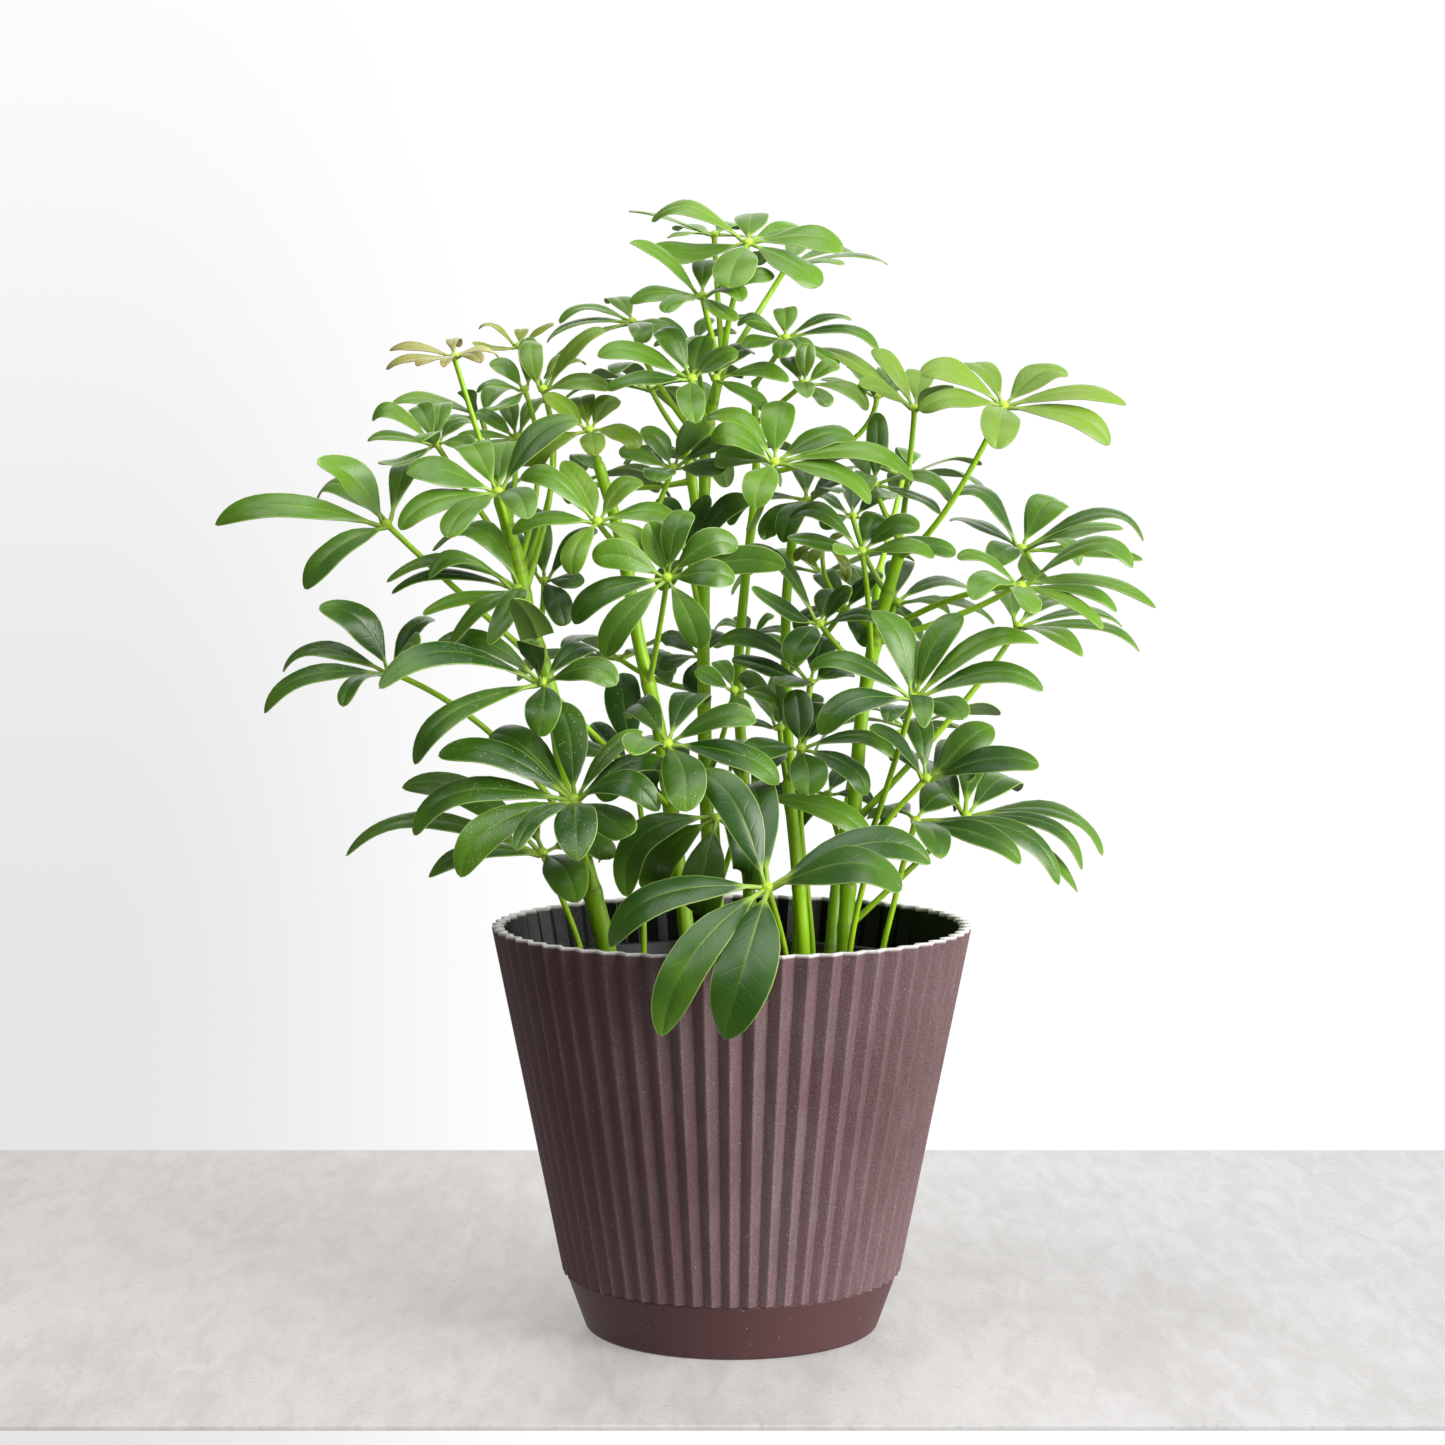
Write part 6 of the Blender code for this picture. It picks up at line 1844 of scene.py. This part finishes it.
    def add_cane(self, stalks: Buffer, row: CaneRow, members: list[LeafPlan]) -> None:
        """Adds a cane with a ring and a slight bulge at each leaf's joint and at old leaf scars.

        Args:
            stalks: Takes the cane.
            row: The cane's readings.
            members: The leaves that grow on it.
        """
        points = cane_path(row.readings)
        length = step_lengths(smooth_path(points, 60)).sum()
        path = smooth_path(points, int(length / self.cane_step) * 3)
        stops = np.concatenate([[0.0], np.cumsum(step_lengths(path))])
        share = stops / stops[-1]
        radii = row.foot + (row.top - row.foot) * share
        heights = [leaf.bend[0].z for leaf in members if leaf.bend]
        lowest = min(heights, default=path[-1, 2])
        heights += list(np.arange(STEM_FOOT_Z + self.first_scar, lowest - 14.0, self.scar_step))
        swell, scar = np.ones(len(path)), np.zeros(len(path))
        for height in heights:
            off = stops - stops[np.abs(path[:, 2] - height).argmin()]
            swell += 0.13 * bell(off, 2.6)
            scar = np.maximum(scar, bell(off - 1.2, 0.7))
        tip = np.sqrt(np.clip((1.003 - share) / 0.012, 0.12, 1.0))
        shape, faces = tube(path, radii * np.minimum(swell, 1.2) * tip, self.cane_sides)
        marks = {"rise": share, "scar": scar}
        for name, value in marks.items():
            marks[name] = np.append(np.repeat(value, self.cane_sides), value[[0, -1]])
        stalks.add(shape, faces, wood=1.0, **marks)


@dataclass
class CoverPot:
    """The fluted cover pot: crisp flutes on a tapered sleeve, a plain foot band, and a black inside."""

    height: float = POT_HEIGHT
    rim: float = RIM_RADIUS
    sleeve_z: float = 21.5
    sleeve_radius: float = 63.7
    flutes: int = 60
    depth_rim: float = 2.4
    depth_foot: float = 1.8
    phase: float = -0.1
    wall: float = 2.3
    band_top: float = 62.7
    base: tuple[tuple[float, float], ...] = (
        (53.4, 0.0), (54.1, 0.12), (54.8, 0.6), (55.3, 1.3), (55.8, 2.6))
    floor_z: float = 5.0
    floor_radius: float = 54.6
    chamfer: float = 0.3
    steps: tuple[float, ...] = (-0.03, 0.03, 0.16, 0.34, 0.47, 0.53, 0.66, 0.84)
    sharp: float = 0.25

    def ring(self, tip: float, depth: float, height: float) -> np.ndarray:
        """A ring of the sleeve.

        Args:
            tip: Radius at the ridges.
            depth: How deep the flutes are.
            height: Height of the ring.

        Returns:
            Its points.
        """
        share = np.tile(np.array(self.steps), self.flutes)
        flute = np.repeat(np.arange(self.flutes), len(self.steps))
        turns = (flute + share + self.phase) * 2 * pi / self.flutes
        away = 1 - np.abs(1 - 2 * np.abs(share))
        return level_ring(tip - depth * np.clip((away - 0.06) / 0.88, 0, 1), turns, height)

    def build(self) -> None:
        """Builds the pot."""
        slope = (self.rim - self.sleeve_radius) / (self.height - self.sleeve_z)
        rings = [self.ring(radius, 0.0, z) for radius, z in self.base]
        rings += [self.ring(self.band_top - 0.35, 0.0, self.sleeve_z - 0.7),
                  self.ring(self.band_top - 0.5, 0.0, self.sleeve_z)]
        sleeve = np.append(np.linspace(self.sleeve_z, self.height - 1.3, 9), self.height - self.chamfer)
        for z in sleeve:
            share = (z - self.sleeve_z) / (self.height - self.sleeve_z)
            depth = self.depth_foot + (self.depth_rim - self.depth_foot) * share
            rings.append(self.ring(self.sleeve_radius + slope * (z - self.sleeve_z), depth, z))
        rings.append(self.ring(self.rim - self.chamfer, self.depth_rim, self.height))
        rings.append(self.ring(self.rim - self.wall + self.chamfer, self.depth_rim, self.height))
        inner_from = len(rings)
        for share in np.append([1.0], np.linspace(0.992, 0.0, 12)):
            z = self.floor_z + (self.height - self.chamfer - self.floor_z) * share
            tip = self.floor_radius + (self.rim - self.wall - self.floor_radius) * share
            rings.append(self.ring(tip, self.depth_rim * share ** 0.8, z))
        level = np.arange(len(rings))
        outer = (level > len(self.base) + 1) & (level < inner_from)
        off_rim = np.abs(level - inner_from + 1.5)
        ridge = np.tile(np.abs(np.array(self.steps)) < 0.1, self.flutes)
        size = len(ridge)
        marks = {
            "ridge": np.outer(outer, ridge).ravel(),
            # The rim mark places the painted highlight on the rim's top
            "rim": np.repeat(np.where(off_rim < 0.6, 1.0, off_rim < 1.6), size),
            # The fluted mark places the film with its painted sheen
            "fluted": np.repeat(outer, size),
        }
        marks = {name: np.append(value, [0, 0]) for name, value in marks.items()}
        inner = np.append(np.repeat(level >= inner_from, size), [0, 1])
        ends = [(0.0, 0.0, 0.0), (0.0, 0.0, self.floor_z)]
        pot = Buffer("cover_pot_fluted", POT_MARKS)
        pot.add(np.vstack(rings + [ends]), skin(len(rings), size), inner=inner, **marks)
        pot.piece(PotFinish().material(), ("cover_pot",), self.sharp)


@dataclass
class NurseryPot:
    """The plain black inner pot with a rolled lip."""

    foot: float = 50.0
    rim: float = NURSERY_RIM_RADIUS
    rim_z: float = NURSERY_RIM_Z
    floor_z: float = 5.3
    wall: float = 1.4
    lip: float = 2.4
    lip_height: float = 9.0
    sides: int = 120
    sharp: float = 0.7

    def build(self) -> None:
        """Builds the inner pot."""
        foot, floor, rim, rim_z = self.foot, self.floor_z, self.rim, self.rim_z
        low, bottom = rim_z - self.lip_height, floor + self.wall
        inside = rim - self.lip - self.wall
        profile = [
            (foot - 1.0, floor), (foot, floor + 1.0), (rim - self.lip - 1.0, low - 0.4), (rim - 1.0, low),
            (rim - 0.5, low + 0.5), (rim - 0.2, rim_z - 1.6), (rim - 0.5, rim_z - 0.5), (rim - 1.3, rim_z),
            (inside + 0.9, rim_z), (inside + 0.2, rim_z - 0.4), (inside - 0.1, rim_z - 1.4),
            (foot - self.wall, bottom + 1.0), (foot - self.wall - 1.0, bottom)]
        turns = even_turns(self.sides)
        rings = [level_ring(radius, turns, height) for radius, height in profile]
        ends = [(0.0, 0.0, floor), (0.0, 0.0, bottom)]
        pot = Buffer("nursery_pot_shell", ())
        pot.add(np.vstack(rings + [ends]), skin(len(rings), self.sides))
        pot.piece(NurseryFinish().material(), ("nursery_pot",), self.sharp)


@dataclass
class Soil:
    """Potting soil: an uneven peat top with bark chips and a few perlite grains pressed into it."""

    top_z: float = 123.0
    floor_z: float = 7.5
    top_radius: float = 69.4
    foot_radius: float = 47.0
    rings: int = 34
    sides: int = 150
    chips: int = 420
    grains: int = 46
    unevenness: float = 1.5
    crumb_height: float = 0.7
    edge_fall: float = 1.4
    sharp: float = 0.9

    def height(self, x: float, y: float) -> float:
        """Works out how high the soil's top is.

        Args:
            x: The place to the right.
            y: The place to the back.

        Returns:
            The height there.
        """
        place = Vector((x * 0.09, y * 0.09, 0.4))
        slow = noise.noise(place) * self.unevenness
        fine = noise.noise(place * 5.0) * self.crumb_height
        fall = self.edge_fall * (sqrt(x * x + y * y) / self.top_radius) ** 6
        return self.top_z - 0.8 + slow + fine - fall

    def build(self) -> None:
        """Builds the soil."""
        soil = Buffer("soil_surface", SOIL_MARKS)
        turns = even_turns(self.sides)
        rings = []
        for radius in np.linspace(1.2, self.top_radius, self.rings):
            ring = [(radius * cos(turn), radius * sin(turn)) for turn in turns]
            rings.append(np.array([(x, y, self.height(x, y)) for x, y in ring]))
        foot = level_ring(self.foot_radius, turns, self.floor_z)
        ends = [(0.0, 0.0, self.height(0.0, 0.0)), (0.0, 0.0, self.floor_z)]
        soil.add(np.vstack(rings + [foot, ends]), [face[::-1] for face in skin(self.rings + 1, self.sides)])
        self.scatter(soil)
        soil.piece(SoilFinish().material(), ("soil",), self.sharp)

    def scatter(self, soil: Buffer) -> None:
        """Adds the chips, which are small, faceted and flat, and the round white grains.

        Args:
            soil: Takes them.
        """
        luck = np.random.default_rng(11)
        for index in range(self.chips + self.grains):
            white = index >= self.chips
            radius = (self.top_radius - 3.0) * sqrt(luck.uniform())
            turn = luck.uniform(0, 2 * pi)
            x, y = radius * cos(turn), radius * sin(turn)
            size = luck.uniform(0.7, 1.5) if white else luck.uniform(0.9, 3.2)
            shape = Vector((1.0, luck.uniform(0.7, 1.0), luck.uniform(0.7, 1.0)) if white
                           else (1.0, luck.uniform(0.35, 0.8), luck.uniform(0.25, 0.5)))
            spin = Matrix.Rotation(luck.uniform(0, 2 * pi), 3, "Z")
            spin = spin @ Matrix.Rotation(luck.uniform(-0.5, 0.5), 3, "X")
            lift = self.height(x, y) + size * 0.18
            heights = np.linspace(-0.85, 0.85, 4)
            points, faces = tube(np.outer(heights, (0.0, 0.0, 1.0)), np.sqrt(1 - heights ** 2), 7)
            points = points * luck.uniform(0.82, 1.15, (len(points), 1)) * np.array(shape) * size
            points = points @ np.array(spin).T + np.array((x, y, lift))
            soil.add(points, faces, chip=float(not white) * luck.uniform(0.2, 1.0), grain=float(white))


@dataclass
class Studio:
    """The table, the white surroundings, the lights and the camera."""

    table_half_width: float = 1.6
    table_front: float = -0.137
    table_back: float = 0.327
    table_thickness: float = 0.002
    edge: float = 0.0006
    lit_place: Triple = (0.0, 0.0, 0.2)
    white: Colour = (1.03, 1.03, 1.03)
    # Painted shade on the backdrop's low left
    backdrop_painted_shade: Colour = (0.79, 0.79, 0.793)
    fill_left: Colour = (0.1, 0.105, 0.11)
    fill_right: Colour = (0.42, 0.42, 0.415)
    eye: Triple = (-0.0034, -1.2188, 0.3128)
    pitch: float = 0.06956
    lens: float = 81.385
    sensor: float = 36.0

    def build(self) -> None:
        """Builds the whole setting."""
        self.build_table()
        self.build_world()
        self.add_light("key_from_right", (2.7, -2.3, 1.5), (1.8, 3.0), 170.0, (1.0, 0.985, 0.96))
        self.add_light("side_from_right", (3.2, -0.8, 0.7), (1.6, 1.6), 46.0)
        self.add_light("high_from_left", (-1.6, -1.2, 2.6), (1.4, 1.4), 18.0)
        self.add_light("high_soft_top", (0.2, -0.4, 3.4), (2.4, 2.4), 48.0)
        self.add_light("glow_from_behind", (0.2, 2.6, 1.6), (2.4, 2.4), 26.0)
        self.build_camera()

    def build_table(self) -> None:
        """Builds the table top, with softened edges."""
        middle = (self.table_front + self.table_back) / 2
        half = (self.table_back - self.table_front) / 2
        mesh = bpy.data.meshes.new("table_top")
        corners = [(x * self.table_half_width, middle + y * half, z * self.table_thickness)
                   for z in (-1, 0) for x, y in ((-1, -1), (1, -1), (1, 1), (-1, 1))]
        faces = [(0, 3, 2, 1), (4, 5, 6, 7), (0, 1, 5, 4), (1, 2, 6, 5), (2, 3, 7, 6), (3, 0, 4, 7)]
        mesh.from_pydata(corners, [], faces)
        mesh.materials.append(TableFinish().material())
        table = new_object("table_top", mesh)
        bevel = table.modifiers.new("Soft edges", "BEVEL")
        bevel.width = self.edge
        bevel.segments = 3

    def build_world(self) -> None:
        """White surroundings that give more light from the right, with painted shade that greys them at the
        low left where the camera sees them.
        """
        world = bpy.data.worlds.new("white_studio")
        world.use_nodes = True
        nodes = Nodes(world.node_tree)
        x, _, z = nodes.axes(nodes.new("TexCoord").outputs["Generated"])
        # Painted shade on the backdrop, at the low left
        left = nodes.spread(x, -0.19, -0.02, 1.0, 0.0)
        low = nodes.spread(z, -0.16, 0.22, 1.0, 0.15)
        seen = nodes.mix(nodes.times(left, low), self.white, self.backdrop_painted_shade)
        unseen = nodes.mix(nodes.spread(x, -0.7, 0.7), self.fill_left, self.fill_right)
        camera = nodes.new("LightPath").outputs["Is Camera Ray"]
        nodes.feed(world.node_tree.nodes["Background"], {"Color": nodes.mix(camera, unseen, seen)})
        bpy.context.scene.world = world

    def add_light(self, name: str, place: Triple, size: tuple[float, float], power: float,
                  colour: Colour = (1.0, 1.0, 1.0)) -> None:
        """Adds a soft light that faces the plant.

        Args:
            name: Its name.
            place: Its place.
            size: Its width and height.
            power: Its power, in watts.
            colour: Its colour.
        """
        lamp = bpy.data.lights.new(name, "AREA")
        lamp.shape = "RECTANGLE"
        lamp.size, lamp.size_y = size
        lamp.energy, lamp.color = power, colour
        thing = new_object(name, lamp)
        thing.location = place
        thing.rotation_euler = (Vector(self.lit_place) - Vector(place)).to_track_quat("-Z", "Y").to_euler()

    def build_camera(self) -> None:
        """Places the camera where the photograph was taken from."""
        camera = bpy.data.cameras.new("photo_camera")
        camera.lens, camera.sensor_width = self.lens, self.sensor
        thing = new_object("photo_camera", camera)
        thing.location = self.eye
        thing.rotation_euler = (pi / 2 - self.pitch, 0.0, 0.0)
        bpy.context.scene.camera = thing
        bpy.context.scene.view_settings.view_transform = "Standard"


def main() -> None:
    """Builds the plant, its pots and soil, and the setting, in that order."""
    leaves = make_plan()
    LOG.info("leaves: %d, crossings left: %d", len(leaves), clear_crossings(leaves))
    Foliage(leaves).build()
    Soil().build()
    NurseryPot().build()
    CoverPot().build()
    Studio().build()


if __name__ == "__main__":
    logging.basicConfig(level=logging.INFO, format="%(name)s: %(message)s")
    main()
